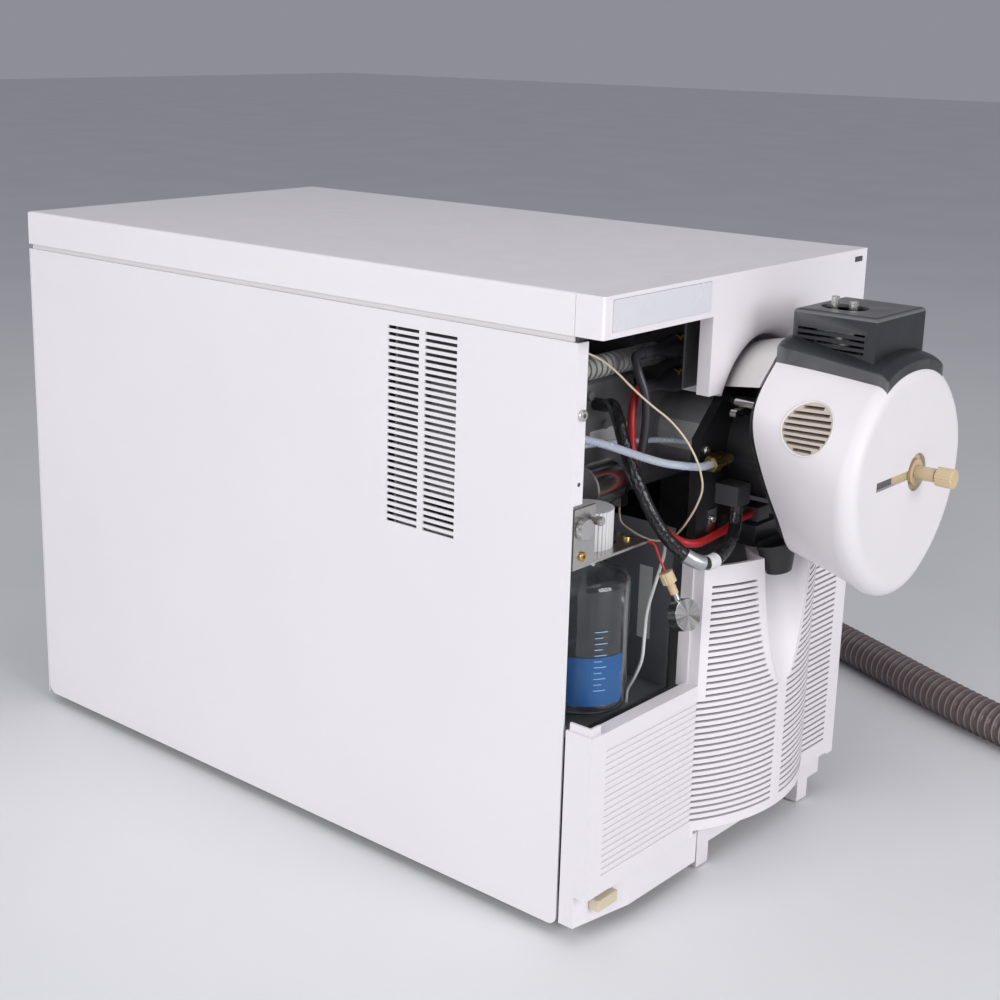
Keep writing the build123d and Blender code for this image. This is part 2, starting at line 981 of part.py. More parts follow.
def cut_slits(bezel):
    """Rows of slits through the grille, with shallow grooves that carry on to their left."""
    radius, middle = bow_centre()
    with BuildPart(mode=Mode.PRIVATE) as rows:
        for row in range(slit_rows):
            w = slit_level + row * slit_pitch
            tall = (w - slit_height / 2, w + slit_height / 2)
            lower = row < lower_rows
            half = max(scoop_half(w) + scoop_margin, ridge_half)
            start = source_u - bow_half + (0.5 if lower else 6.0)
            block((start, source_u - half), (-50, -2.0), tall)
            block((source_u + half, slit_end), (-50, -2.0), tall)
            if lower:
                block((groove_left, start), (-50, groove_depth - lower_proud), tall)
    bezel.part -= rows.part


# ---------------------------------------------------------------- source
def shield_points(inset):
    """Left-hand points of the housing's rear outline, from its bottom to its top."""
    outline = ((0, -71), (-34, -45), (-53, -18), (-73, 14), (-85, 59), (-60, 88), (0, 99))
    shrink = 1 - inset / 85.0
    return [(u * shrink, w * shrink) for u, w in outline]


def mirrored_section(v, w, points):
    """Closed outline across the source from its left half; three points make an arc."""
    spot = Location((source_u, w, 0))
    with BuildSketch(facing(v)) as section:
        with BuildLine(mode=Mode.PRIVATE) as left_half:
            if len(points) == 3:
                ThreePointArc(*points)
            else:
                Spline(*points, tangents=((-1, 0), (1, 0)))
        with BuildLine():
            add(left_half.line.moved(spot))
            add(mirror(left_half.line, about=Plane.YZ, mode=Mode.PRIVATE).moved(spot))
        make_face()
    return section.sketch


def round_section(v, w, radius):
    """Circle across the source, made of the same two halves as its other outlines."""
    return mirrored_section(v, w, ((0, -radius), (-radius, 0), (0, radius)))


def shield_section(v, inset):
    """Raised shield outline of the housing's back, drawn inset."""
    return mirrored_section(v, drum_level, shield_points(inset))


def make_drum_form(grow=0.0):
    """Solid outer form of the housing, or that form grown: round in front, a shield behind."""
    with BuildPart() as form:
        loft(
            [
                round_section(-drum_face, drum_level, drum_radius + grow),
                shield_section(-drum_back, -grow),
            ]
        )
        fillet(form.edges().group_by(Axis.Y)[0], drum_round)
    return form


def make_source_housing():
    """Source housing: the drum's form made hollow, with its holes, slot and vent."""
    with BuildPart() as housing:
        add(make_drum_form().part)
        with BuildPart(mode=Mode.PRIVATE) as hollow:
            loft(
                [
                    round_section(
                        -drum_face + drum_wall,
                        drum_level,
                        drum_radius - drum_wall - hollow_step,
                    ),
                    shield_section(-drum_back, drum_wall + 1.5),
                ]
            )
        add(hollow.part, mode=Mode.SUBTRACT)
        # hole and slot for the probe, hole for the spray needle
        rod(
            facing(-drum_face - 1),
            (probe_u, probe_level),
            probe_hole,
            -drum_wall - 3,
            mode=Mode.SUBTRACT,
        )
        block(
            (probe_slot_end, probe_u),
            (-drum_face - 1, -drum_face + drum_wall + 2),
            (probe_level - probe_slot_height / 2, probe_level + probe_slot_height / 2),
            mode=Mode.SUBTRACT,
        )
        rod(
            level(drum_level + 60),
            (nozzle_u, -nozzle_ahead),
            needle_hole,
            60,
            mode=Mode.SUBTRACT,
        )
        # round vent in the left flank
        for row in range(grille_slots):
            rise = (row - (grille_slots - 1) / 2) * grille_pitch
            half = math.sqrt(grille_radius**2 - (abs(rise) + grille_gap / 2) ** 2)
            block(
                (source_u - drum_radius - 8, source_u - 30),
                (-drum_face + grille_behind - half, -drum_face + grille_behind + half),
                (grille_level + rise - grille_gap / 2, grille_level + rise + grille_gap / 2),
                mode=Mode.SUBTRACT,
            )
    return housing


def make_source_top_cover():
    """Black saddle and box over the housing's top, open above for the sprayer."""
    with BuildPart() as cover:
        add(make_drum_form(saddle_rise).part)
        with BuildSketch(level(drum_level)):
            with BuildLine():
                Polyline(
                    (source_u - saddle_front_half, -saddle_front),
                    (source_u + saddle_front_half, -saddle_front),
                    (source_u + saddle_back_half, -drum_back),
                    (source_u - saddle_back_half, -drum_back),
                    close=True,
                )
            make_face()
        extrude(amount=drum_radius * 2, mode=Mode.INTERSECT)
        with BuildSketch(beside(source_u)):
            with BuildLine():
                Polyline(
                    (-saddle_front, drum_level + saddle_front_drop),
                    (-drum_back, drum_level + saddle_back_drop),
                    (-drum_back, cap_top + saddle_rise),
                    (-saddle_front, cap_top + saddle_rise),
                    close=True,
                )
            make_face()
        extrude(amount=drum_radius * 2, both=True, mode=Mode.INTERSECT)
        block(
            (source_u - cap_half_width, source_u + cap_half_width),
            (-cap_front, -drum_back),
            (drum_level + saddle_back_drop, cap_top),
        )
        fillet(cover.edges().group_by(Axis.Z)[-1], 3.0)
        block(
            (source_u - cap_half_width + cap_wall, source_u + cap_half_width - cap_wall),
            (-cap_front + cap_wall, -drum_back - cap_wall),
            (drum_level, cap_top - cap_wall),
            mode=Mode.SUBTRACT,
        )
        with BuildSketch(level(cap_top)):
            with Locations(Location((nozzle_u, -nozzle_ahead, 0), (0, 0, 90))):
                SlotOverall(oval_length, oval_width)
        extrude(amount=-cap_wall - 1, mode=Mode.SUBTRACT)
        for row in range(cap_slots):
            w = cap_top - 14 - row * cap_slot_pitch
            block(
                (source_u - cap_half_width - 1, source_u - cap_half_width + cap_wall + 1),
                (-cap_slot_ends[0], -cap_slot_ends[1]),
                (w - cap_slot_height / 2, w + cap_slot_height / 2),
                mode=Mode.SUBTRACT,
            )
        add(make_drum_form().part, mode=Mode.SUBTRACT)
    return cover


def make_source_back_plate():
    """Stepped plate that closes the housing's back, with its bore and the leaf's seat."""
    low = knuckle_low + knuckle_height + leaf_gap
    with BuildPart() as plate:
        extrude(shield_section(-drum_back, plate_insets[0]), amount=-plate_flange)
        extrude(shield_section(-drum_back, plate_insets[1]), amount=-back_plate_thick)
        rod(
            facing(-drum_back + back_plate_thick),
            (source_u, boss_level),
            bore_radius,
            back_plate_thick,
            mode=Mode.SUBTRACT,
        )
        block(
            (hinge_u - leaf_width, hinge_u),
            (-drum_back + plate_flange, -drum_back + back_plate_thick + 1),
            (low, low + leaf_height),
            mode=Mode.SUBTRACT,
        )
    return plate


def make_keeper_stud():
    """Stud on the back plate, just above the latched lever's end."""
    with BuildPart() as stud:
        rod(
            facing(-drum_back + back_plate_thick + keeper_length),
            (
                lever_u - lever_length + keeper_along,
                lever_level + lever_width / 2 + keeper_radius + lever_gap,
            ),
            keeper_radius,
            keeper_length,
        )
    return stud


def make_hinge_leaf():
    """Moving hinge leaf on the back plate, with the knuckle between the fixed ones."""
    low = knuckle_low + knuckle_height + leaf_gap
    with BuildPart() as leaf:
        rod(level(low), (hinge_u, -hinge_ahead), hinge_radius, leaf_height)
        block(
            (hinge_u - leaf_width, hinge_u),
            (-drum_back + plate_flange, -hinge_ahead),
            (low, low + leaf_height),
        )
        rod(
            level(low - 1),
            (hinge_u, -hinge_ahead),
            pin_radius + pin_clearance,
            leaf_height + 2,
            mode=Mode.SUBTRACT,
        )
    return leaf


def make_source_shroud():
    """Moulded cowl from the hood out to the housing, open below and at the hinge."""
    front = -drum_back + plate_flange + shroud_gap
    with BuildPart() as shroud:
        loft(
            [
                round_section(shroud_back, arch_level, shroud_radius),
                shield_section(front, 0.0),
            ]
        )
        with BuildPart(mode=Mode.PRIVATE) as hollow:
            loft(
                [
                    round_section(shroud_back, arch_level, shroud_radius - shroud_wall),
                    shield_section(front, shroud_wall),
                ]
            )
        add(hollow.part, mode=Mode.SUBTRACT)
        with BuildSketch(beside(shroud_end)):
            with BuildLine():
                Polyline(
                    (front, drum_level + shroud_ends[1]),
                    (shroud_back, drum_level + shroud_ends[0]),
                    (shroud_back, cap_top),
                    (front, cap_top),
                    close=True,
                )
            make_face()
        extrude(amount=-2 * drum_radius, mode=Mode.INTERSECT)
        # lug that carries the cowl on the mount's plate
        block(
            (source_u - 8, source_u + 8),
            (mount_front - 3, mount_front),
            (boss_level + boss_radius + 0.5, arch_level + shroud_radius - shroud_wall + 1),
        )
    return shroud


def make_source_mount():
    """Fixed plate and bored boss behind the source, with the lever's post."""
    with BuildPart() as mount:
        with BuildSketch(facing(mount_front + mount_thick)):
            with BuildLine():
                Polyline(
                    (mount_left, mount_bottom),
                    (mount_right, mount_bottom),
                    (mount_right, mount_top - mount_clip),
                    (mount_right - mount_clip, mount_top),
                    (mount_left + mount_left_clip, mount_top),
                    (mount_left, mount_top - mount_left_clip),
                    close=True,
                )
            make_face()
        extrude(amount=mount_thick)
        rod(
            facing(mount_front),
            (source_u, boss_level),
            boss_radius,
            mount_front + drum_back - back_plate_thick - boss_gap,
        )
        rod(
            facing(optics_front),
            (source_u, boss_level),
            tube_radius,
            optics_front - mount_front - mount_thick,
        )
        rod(
            facing(optics_front + 1),
            (source_u, boss_level),
            bore_radius,
            optics_front + drum_back,
            mode=Mode.SUBTRACT,
        )
        rod(facing(mount_front), (lever_u, lever_level), post_radius, mount_front + lever_back)
        rod(
            facing(-lever_back),
            (lever_u, lever_level),
            lever_bore - pin_clearance,
            lever_thick + 1.0,
        )
    return mount


def make_hinge_bracket():
    """Fixed hinge leaf with two knuckles, its strip bolted to the mount's plate."""
    low, high = knuckle_low, knuckle_low + 2 * (knuckle_height + leaf_gap) + leaf_height
    with BuildPart() as bracket:
        block((mount_right - 17.0, mount_right), (-28.0, -seam), (low, high))
        block((mount_right - 17.0, mount_right - 4), (-1.0, mount_front), (low, arch_level))
        for w in (low, high - knuckle_height):
            block((mount_right - 1, hinge_u), (-28.0, -16.0), (w, w + knuckle_height))
            rod(level(w), (hinge_u, -hinge_ahead), hinge_radius, knuckle_height)
        rod(
            level(low - 1),
            (hinge_u, -hinge_ahead),
            pin_radius + pin_clearance,
            high - low + 2,
            mode=Mode.SUBTRACT,
        )
    return bracket


def make_hinge_pin():
    """Headed pin through the knuckles."""
    high = knuckle_low + 2 * (knuckle_height + leaf_gap) + leaf_height
    with BuildPart() as pin:
        rod(level(knuckle_low - 2), (hinge_u, -hinge_ahead), pin_radius, high - knuckle_low + 3)
        rod(level(high), (hinge_u, -hinge_ahead), pin_radius + 2, 2.5)
    return pin


def make_latch_lever():
    """Flat lever with a rounded end that hooks under the keeper stud."""
    with BuildPart() as lever:
        with BuildSketch(facing(-lever_back)):
            with Locations((lever_u - lever_length / 2, lever_level)):
                SlotCenterToCenter(lever_length, lever_width)
            with Locations((lever_u, lever_level)):
                Circle(lever_width / 2 + 2.5)
                Circle(lever_bore, mode=Mode.SUBTRACT)
        extrude(amount=lever_thick)
    return lever


def make_spout_form(inset):
    """Tapered oval funnel form, drawn inset."""
    top = mount_bottom - spout_wall
    with BuildPart() as form:
        for w, (long_half, short_half), ahead in (
            (top, spout_top, spout_ahead[0]),
            (top - spout_drop, spout_tip, spout_ahead[1]),
        ):
            with BuildSketch(level(w)):
                with Locations((source_u, -ahead)):
                    Ellipse(long_half - inset, short_half - inset)
        loft(ruled=True)
    return form


def make_drain_spout():
    """Black drain cup below the source, on a bracket from the mount."""
    top = mount_bottom - spout_wall
    with BuildPart() as spout:
        block((source_u - 20, source_u + 20), (-8.0, mount_front), (top - 3, top + 14))
        add(make_spout_form(0.0).part)
        add(make_spout_form(spout_wall).part, mode=Mode.SUBTRACT)
    return spout


def make_probe_plate():
    """Small plate behind the face hole that carries the probe, with its arm in the slot."""
    with BuildPart() as plate:
        rod(
            facing(-drum_face + drum_wall + probe_plate_thick),
            (probe_u, probe_level),
            probe_hole + 4,
            probe_plate_thick,
        )
        block(
            (probe_slot_end + 4, probe_u),
            (-drum_face + drum_wall, -drum_face + drum_wall + probe_plate_thick),
            (probe_level - 7, probe_level + 7),
        )
        rod(
            facing(-drum_face + drum_wall),
            (probe_u, probe_level),
            probe_hole - 4.5,
            drum_wall,
        )
        rod(
            facing(-drum_face + 10),
            (probe_u, probe_level),
            neck_radius + pin_clearance,
            20,
            mode=Mode.SUBTRACT,
        )
    return plate


def make_probe():
    """Probe screw: a shank through the plate, a barrel, a neck and a knob."""
    reach = barrel_reach + neck_length
    with BuildPart() as probe:
        rod(
            facing(-drum_face + drum_wall + probe_plate_thick + 3),
            (probe_u, probe_level),
            neck_radius,
            drum_wall + probe_plate_thick + 4,
        )
        rod(facing(-drum_face - knob_gap), (probe_u, probe_level), barrel_radius, barrel_reach)
        rod(
            facing(-drum_face - barrel_reach),
            (probe_u, probe_level),
            neck_radius,
            neck_length + 1,
        )
        with BuildSketch(facing(-drum_face - reach)):
            with Locations((probe_u, probe_level)):
                Circle(knob_radius)
                with PolarLocations(knob_radius + 0.4, knob_flutes):
                    Circle(0.9, mode=Mode.SUBTRACT)
        extrude(amount=knob_length)
        chamfer(probe.edges().group_by(Axis.Y)[0], 0.6)
    return probe


def make_sprayer():
    """Spray probe seated in the housing's top hole, with two threaded posts."""
    spot = (nozzle_u, -nozzle_ahead)
    with BuildPart() as sprayer:
        rod(level(drum_level + 88), spot, sprayer_flange, 18.0)
        add(make_drum_form().part, mode=Mode.SUBTRACT)
        rod(level(drum_level + 62), spot, sprayer_radius, sprayer_top - 10 - drum_level - 62)
        rod(level(drum_level + 40), spot, 2.0, 23.0)
        block(
            (nozzle_u - head_half[0], nozzle_u + head_half[0]),
            (-nozzle_ahead - head_half[1], -nozzle_ahead + head_half[1]),
            (sprayer_top - 10, sprayer_top),
        )
        for post in adjuster_spots:
            rod(level(sprayer_top - 1), post, adjuster_stem, 11.0)
    return sprayer


def make_adjuster(index):
    """Fluted adjuster knob on one of the sprayer's posts."""
    spot, radius = adjuster_spots[index], adjuster_radii[index]
    with BuildPart() as knob:
        with BuildSketch(level(sprayer_top + lever_gap)):
            with Locations(spot):
                Circle(radius)
                with PolarLocations(radius + 0.2, adjuster_flutes):
                    Circle(0.45, mode=Mode.SUBTRACT)
        extrude(amount=adjuster_rises[index] - lever_gap)
        chamfer(knob.edges().group_by(Axis.Z)[-1], 0.3)
        rod(
            level(sprayer_top),
            spot,
            adjuster_stem + pin_clearance,
            10.5,
            mode=Mode.SUBTRACT,
        )
    return knob


# ---------------------------------------------------------------- small front pieces
def make_name_plate():
    """Blank plate let into the upper bezel's band."""
    with BuildPart() as plate:
        block(
            (plate_left + 0.2, plate_left + plate_length - 0.2),
            (-0.4, plate_thick + 0.2),
            (
                case_height - plate_drop - plate_height + 0.2,
                case_height - plate_drop - 0.2,
            ),
        )
        fillet(plate.edges().filter_by(Axis.Y), 1.0)
    return plate


def make_status_lamp():
    """Small lamp lens in the band's right end, flanged behind the moulding."""
    with BuildPart() as lamp:
        block(lamp_span(), (-0.3, bezel_wall), lamp_rise())
        block(lamp_span(1.5), (bezel_wall, bezel_wall + 2), lamp_rise(1.5))
    return lamp


def make_power_button():
    """Rocking power button that stands through the slanted pocket of the plinth."""
    with BuildPart() as button:
        block(
            (button_left, button_left + button_length),
            (-lower_proud - 1.0, 16.0),
            (button_level, button_level + button_height),
        )
        fillet(button.edges().group_by(Axis.Y)[0], 1.0)
        block(
            (button_left - 2, button_left + button_length + 2),
            (12.0, 16.0),
            (button_level - 2, button_level + button_height + 2),
        )
    return button


# ---------------------------------------------------------------- front bays
def make_bay_liner():
    """Folded floor and right wall of the open bay."""
    with BuildPart() as liner:
        block(
            (sheet + seam, liner_right),
            (bezel_depth + 2, bulkhead_place),
            (liner_level - sheet, liner_level),
        )
        block(
            (liner_right - sheet, liner_right),
            (bezel_depth + 2, bulkhead_place),
            (liner_level - sheet, shelf_level),
        )
    return liner


def make_bottle_bracket():
    """Shelf that the bottle hangs from, with an upright tab for the thumb screw."""
    with BuildPart() as bracket:
        block(
            (joggle, shelf_right),
            (shelf_front, bulkhead_place),
            (shelf_level, shelf_level + shelf_sheet),
        )
        block(
            (joggle, tab_right),
            (shelf_front, shelf_front + shelf_sheet),
            (shelf_level, shelf_level + tab_height),
        )
        rod(
            level(shelf_level - 1),
            (bottle_u, bottle_place),
            neck_radius_bottle + neck_gap,
            shelf_sheet + 2,
            mode=Mode.SUBTRACT,
        )
        rod(
            facing(shelf_front + shelf_sheet + 1),
            (screw_u, screw_level),
            shank_radius + shank_clearance,
            shelf_sheet + 2,
            mode=Mode.SUBTRACT,
        )
    return bracket


def make_thumb_screw():
    """Knurled thumb screw through the bracket's tab, with its end collar."""
    with BuildPart() as screw:
        with BuildSketch(facing(shelf_front - seam)):
            with Locations((screw_u, screw_level)):
                Circle(screw_radius)
                with PolarLocations(screw_radius + 0.5, screw_flutes):
                    Circle(0.8, mode=Mode.SUBTRACT)
        extrude(amount=screw_thick)
        chamfer(screw.edges().group_by(Axis.Y)[0], 0.4)
        rod(
            facing(shelf_front + shelf_sheet + 6),
            (screw_u, screw_level),
            shank_radius,
            shelf_sheet + 7,
        )
        rod(
            facing(shelf_front + shelf_sheet + 3 + seam),
            (screw_u, screw_level),
            shank_radius + 2,
            3.0,
        )
    return screw


def make_bottle():
    """Calibrant bottle: a blown shell whose neck stands through the shelf."""
    shoulder = shelf_level - shoulder_drop
    with BuildPart() as bottle:
        with BuildSketch(beside(bottle_u)):
            with BuildLine():
                Polyline(
                    (bottle_place, shoulder),
                    (bottle_place, bottle_floor),
                    (bottle_place + bottle_radius, bottle_floor),
                    (bottle_place + bottle_radius, shoulder),
                )
                Spline(
                    (bottle_place + bottle_radius, shoulder),
                    (bottle_place + neck_radius_bottle, shelf_level - neck_drop),
                    tangents=((0, 1), (0, 1)),
                )
                Polyline(
                    (bottle_place + neck_radius_bottle, shelf_level - neck_drop),
                    (bottle_place + neck_radius_bottle, shelf_level + neck_rise),
                    (bottle_place, shelf_level + neck_rise),
                    (bottle_place, shoulder),
                )
            make_face()
        revolve(axis=Axis(place(bottle_u, bottle_place, 0).position, (0, 0, 1)))
        fillet(bottle.edges().group_by(Axis.Z)[0], 4.0)
        mouth = bottle.faces().sort_by(Axis.Z)[-1]
        offset(amount=-bottle_wall, openings=mouth)
    return bottle


def make_bottle_lid():
    """Ribbed screw cap that rests on the shelf and carries the bottle's neck."""
    low = shelf_level + shelf_sheet
    with BuildPart() as lid:
        with BuildSketch(level(low)):
            with Locations((bottle_u, bottle_place)):
                Circle(cap_radius)
                with PolarLocations(cap_radius + 0.5, cap_ribs):
                    Circle(1.2, mode=Mode.SUBTRACT)
        extrude(amount=cap_height)
        rod(
            level(low - 1),
            (bottle_u, bottle_place),
            neck_radius_bottle + pin_clearance,
            neck_rise - shelf_sheet + 1,
            mode=Mode.SUBTRACT,
        )
    return lid


def make_optics_housing():
    """Machined block of the ion optics, bored in line with the source."""
    with BuildPart() as optics:
        block(
            (optics_left, optics_right),
            (optics_front, bulkhead_place),
            (optics_floor, optics_top),
        )
        chamfer(optics.edges().filter_by(Axis.Y), 3.0)
        rod(
            facing(bulkhead_place - 20),
            (source_u, boss_level),
            bore_radius,
            bulkhead_place - optics_front,
            mode=Mode.SUBTRACT,
        )
    return optics


def make_terminal_block():
    """Insulating block on the optics housing that takes the high-voltage leads."""
    with BuildPart() as terminal:
        block(
            (terminal_left, terminal_left + terminal_width),
            terminal_depth,
            (optics_top, optics_top + terminal_height),
        )
        fillet(terminal.edges().filter_by(Axis.Y).group_by(Axis.Z)[-1], 4.0)
    return terminal


def make_manifold():
    """Machined body beside the optics housing, with two studs in its front."""
    with BuildPart() as manifold:
        block(
            (manifold_left, optics_left),
            (manifold_front, bulkhead_place),
            (optics_floor, manifold_top),
        )
        chamfer(manifold.edges().filter_by(Axis.X), 2.0)
        for spot in stud_spots:
            rod(facing(manifold_front), spot, stud_radius, 3.0)
    return manifold


def make_boot(index):
    """Moulded boot that brings a lead into the terminal block's left face."""
    tip, end = boot_tips[index], terminal_left
    axis_level = optics_top + boot_rises[index]
    with BuildPart() as boot:
        with BuildSketch(level(axis_level)):
            with BuildLine():
                Polyline(
                    (tip, boot_behind),
                    (tip, boot_behind + boot_tip_radius),
                    (tip + 16, boot_behind + boot_tip_radius),
                )
                Spline(
                    (tip + 16, boot_behind + boot_tip_radius),
                    (end - 14, boot_behind + boot_radius),
                    tangents=((1, 0), (1, 0)),
                )
                Polyline(
                    (end - 14, boot_behind + boot_radius),
                    (end, boot_behind + boot_radius),
                    (end, boot_behind),
                    (tip, boot_behind),
                )
            make_face()
        revolve(axis=Axis(place(tip, boot_behind, axis_level).position, (1, 0, 0)))
    return boot


def make_air_duct():
    """Ribbed duct from the left panel to the terminal block."""
    spot = (duct_behind, optics_top + duct_rise)
    length = terminal_left - sheet
    with BuildPart() as duct:
        rod(beside(sheet), spot, duct_radius, length)
        for rib in range(1, int(length / duct_pitch)):
            rod(beside(sheet + rib * duct_pitch), spot, duct_radius + duct_rib, duct_pitch / 2)
    return duct


def make_pump_motor():
    """Round pump motor clamped to the manifold, with the outlet block on its end."""
    low, high = pump_span
    with BuildPart() as pump:
        rod(beside(low), (pump_behind, pump_level), pump_radius, high - low)
        chamfer(pump.edges().filter_by(GeomType.CIRCLE), 1.0)
        block((low + 6, low + 20), (pump_behind, manifold_front), (pump_level - 8, pump_level + 8))
        block((high, high + 9), (60.0, 68.0), (296.0, 310.0))
    return pump


def make_cable_sockets():
    """Two sockets on the mount's plate that the leads end in."""
    with BuildPart() as sockets:
        for limits in socket_blocks:
            block(*limits)
    return sockets


def make_brass_fitting():
    """Brass hose fitting on the mount's plate: a hexagonal nut, a barrel and its foot."""
    spot = (brass_ahead, brass_level)
    with BuildPart() as fitting:
        with BuildSketch(beside(brass_start)):
            with Locations(spot):
                RegularPolygon(6.5, 6)
        extrude(amount=10.0)
        rod(beside(brass_start), spot, 4.5, 26.0)
        block((brass_start + 16, brass_start + 26), (-1.0, mount_front), (333.0, 341.0))
    return fitting


def filter_plane(along, axis):
    """Plane at a distance up the filter's stem, with the given normal."""
    centre = Vector(place(*filter_centre).position) + Vector(filter_up) * along
    return Plane(origin=centre, z_dir=axis)


def make_inlet_filter():
    """Steel solvent filter: a thick disc with a stem on its rim."""
    with BuildPart() as disc:
        with BuildSketch(filter_plane(0.0, filter_axis)):
            Circle(filter_radius)
        extrude(amount=filter_thick / 2, both=True)
        chamfer(disc.edges(), 0.5)
        with BuildSketch(filter_plane(filter_stem, filter_up)):
            Circle(2.5)
        extrude(amount=-filter_stem + filter_radius / 2)
    return disc


def make_filter_fitting():
    """Tan finger-tight fitting between the filter's stem and its tube."""
    with BuildPart() as fitting:
        with BuildSketch(filter_plane(filter_stem, filter_up)):
            Circle(3.2)
        extrude(amount=fitting_length)
        with BuildSketch(filter_plane(filter_stem + fitting_length / 2, filter_up)):
            Circle(5.5)
            with PolarLocations(6.0, 10):
                Circle(1.0, mode=Mode.SUBTRACT)
        extrude(amount=fitting_length / 2)
    return fitting


def make_tube(route, radius):
    """Round lead or tube along a route of straight runs joined by arcs."""
    with BuildPart() as tube:
        with BuildLine() as path:
            points = [place(*spot).position for spot in route]
            FilletPolyline(*points, radius=bend_radii([tuple(spot) for spot in route]))
        with BuildSketch(Plane(origin=path.line @ 0, z_dir=path.line % 0)):
            Circle(radius)
        sweep()
    return tube


def make_filter_tube():
    """Thin red tube from the shelf's edge to the filter's fitting."""
    top = filter_stem + fitting_length
    upper, lower = (
        [at + rise * along for at, rise in zip(filter_centre, filter_up)]
        for along in (top + 9.0, top)
    )
    start = (shelf_right - 2, shelf_front, shelf_level + shelf_sheet / 2)
    bend = (shelf_right - 2, shelf_front - 6, shelf_level + shelf_sheet / 2)
    return make_tube((start, bend, tuple(upper), tuple(lower)), filter_tube_radius)


# ---------------------------------------------------------------- rear fittings
def make_gas_ports():
    """Two gas fittings through the rear panel: a nut, a tapered stub and a shoulder."""
    with BuildPart() as ports:
        for spot in gas_spots:
            rod(facing(case_depth + gas_reach), spot, gas_radius - 1.5, gas_reach + 12)
            rod(facing(case_depth), spot, gas_radius, sheet)
            with BuildSketch(facing(case_depth + 6)):
                with Locations(spot):
                    RegularPolygon(gas_radius + 3, 6)
            extrude(amount=6.0)
    return ports


def make_data_sockets():
    """Two flanged data sockets in the rear panel, each with a shallow well."""
    with BuildPart() as sockets:
        for u, w in socket_spots:
            wide, high = socket_width / 2, socket_height / 2
            block((u - wide - 4, u + wide + 4), (case_depth, case_depth + 2), (w - high - 3, w + high + 3))
            block((u - wide, u + wide), (case_depth - 12, case_depth), (w - high, w + high))
            block(
                (u - wide + 3, u + wide - 3),
                (case_depth - 6, case_depth + 3),
                (w - high + 3, w + high - 3),
                mode=Mode.SUBTRACT,
            )
    return sockets


# ---------------------------------------------------------------- foreline
def make_foreline_elbow():
    """Steel elbow from the pump port out of the rear panel, with a plate and a flange."""
    end = case_depth + port_reach
    with BuildPart() as elbow:
        with BuildLine() as path:
            FilletPolyline(
                place(port_u, case_depth - 40, port_level).position,
                place(port_u, end, port_level).position,
                place(port_end, end, port_level).position,
                radius=port_bend,
            )
        with BuildSketch(Plane(origin=path.line @ 0, z_dir=path.line % 0)):
            Circle(port_radius)
        sweep()
        rod(facing(case_depth + 4), (port_u, port_level), flange_radius, 4.0)
        rod(
            beside(port_end - flange_thick), (end, port_level), flange_radius, flange_thick
        )
        with BuildSketch(Plane(origin=path.line @ 0, z_dir=path.line % 0)):
            Circle(port_radius - port_wall)
        sweep(path=path.line, mode=Mode.SUBTRACT)
    return elbow


def make_flange_clamp():
    """Clamp ring round the elbow's flange, with its lug and wing screw."""
    end = case_depth + port_reach
    middle = port_end - clamp_width
    with BuildPart() as clamp:
        rod(beside(middle), (end, port_level), clamp_radius, clamp_width)
        rod(
            beside(middle - 1),
            (end, port_level),
            port_radius,
            clamp_width,
            mode=Mode.SUBTRACT,
        )
        rod(
            beside(port_end - flange_thick),
            (end, port_level),
            flange_radius,
            flange_thick + 1,
            mode=Mode.SUBTRACT,
        )
        block(
            (middle, port_end),
            (end - 8, end + 8),
            (port_level + clamp_radius - 2, port_level + clamp_radius + 9),
        )
        rod(
            facing(end + 16),
            (middle + clamp_width / 2, port_level + clamp_radius + 4),
            3.0,
            30.0,
        )
    return clamp


def bend_radii(points):
    """Radii of the bends in a route of straight runs, from its shorter runs and its turns."""
    radii = []
    for before, at, after in zip(points, points[1:], points[2:]):
        run_in, run_out = Vector(at) - Vector(before), Vector(after) - Vector(at)
        turn = math.radians(run_in.get_angle(run_out))
        radii.append(0.45 * min(run_in.length, run_out.length) / math.tan(turn / 2))
    return radii


def make_hose():
    """Vacuum hose from the elbow's flange round the case's right side, along the table."""
    points = [place(*spot).position for spot in hose_route]
    radii = bend_radii([tuple(spot) for spot in hose_route])
    with BuildPart() as hose:
        with BuildLine() as path:
            FilletPolyline(*points, radius=radii)
        with BuildSketch(Plane(origin=path.line @ 0, z_dir=path.line % 0)):
            Circle(hose_radius)
        sweep()
    print("hose radii", [round(radius) for radius in radii], "length", round(path.wires()[0].length))
    return hose


def make_hose_end():
    """Steel flange fitting on the hose's free end."""
    start, end = (Vector(place(*spot).position) for spot in hose_route[-2:])
    along = (end - start).normalized()
    with BuildPart() as fitting:
        with BuildSketch(Plane(origin=end, z_dir=along)):
            Circle(hose_radius - 3)
        extrude(amount=hose_end_length)
        with BuildSketch(Plane(origin=end + along * (hose_end_length - 4), z_dir=along)):
            Circle(hose_radius)
        extrude(amount=4.0)
    return fitting


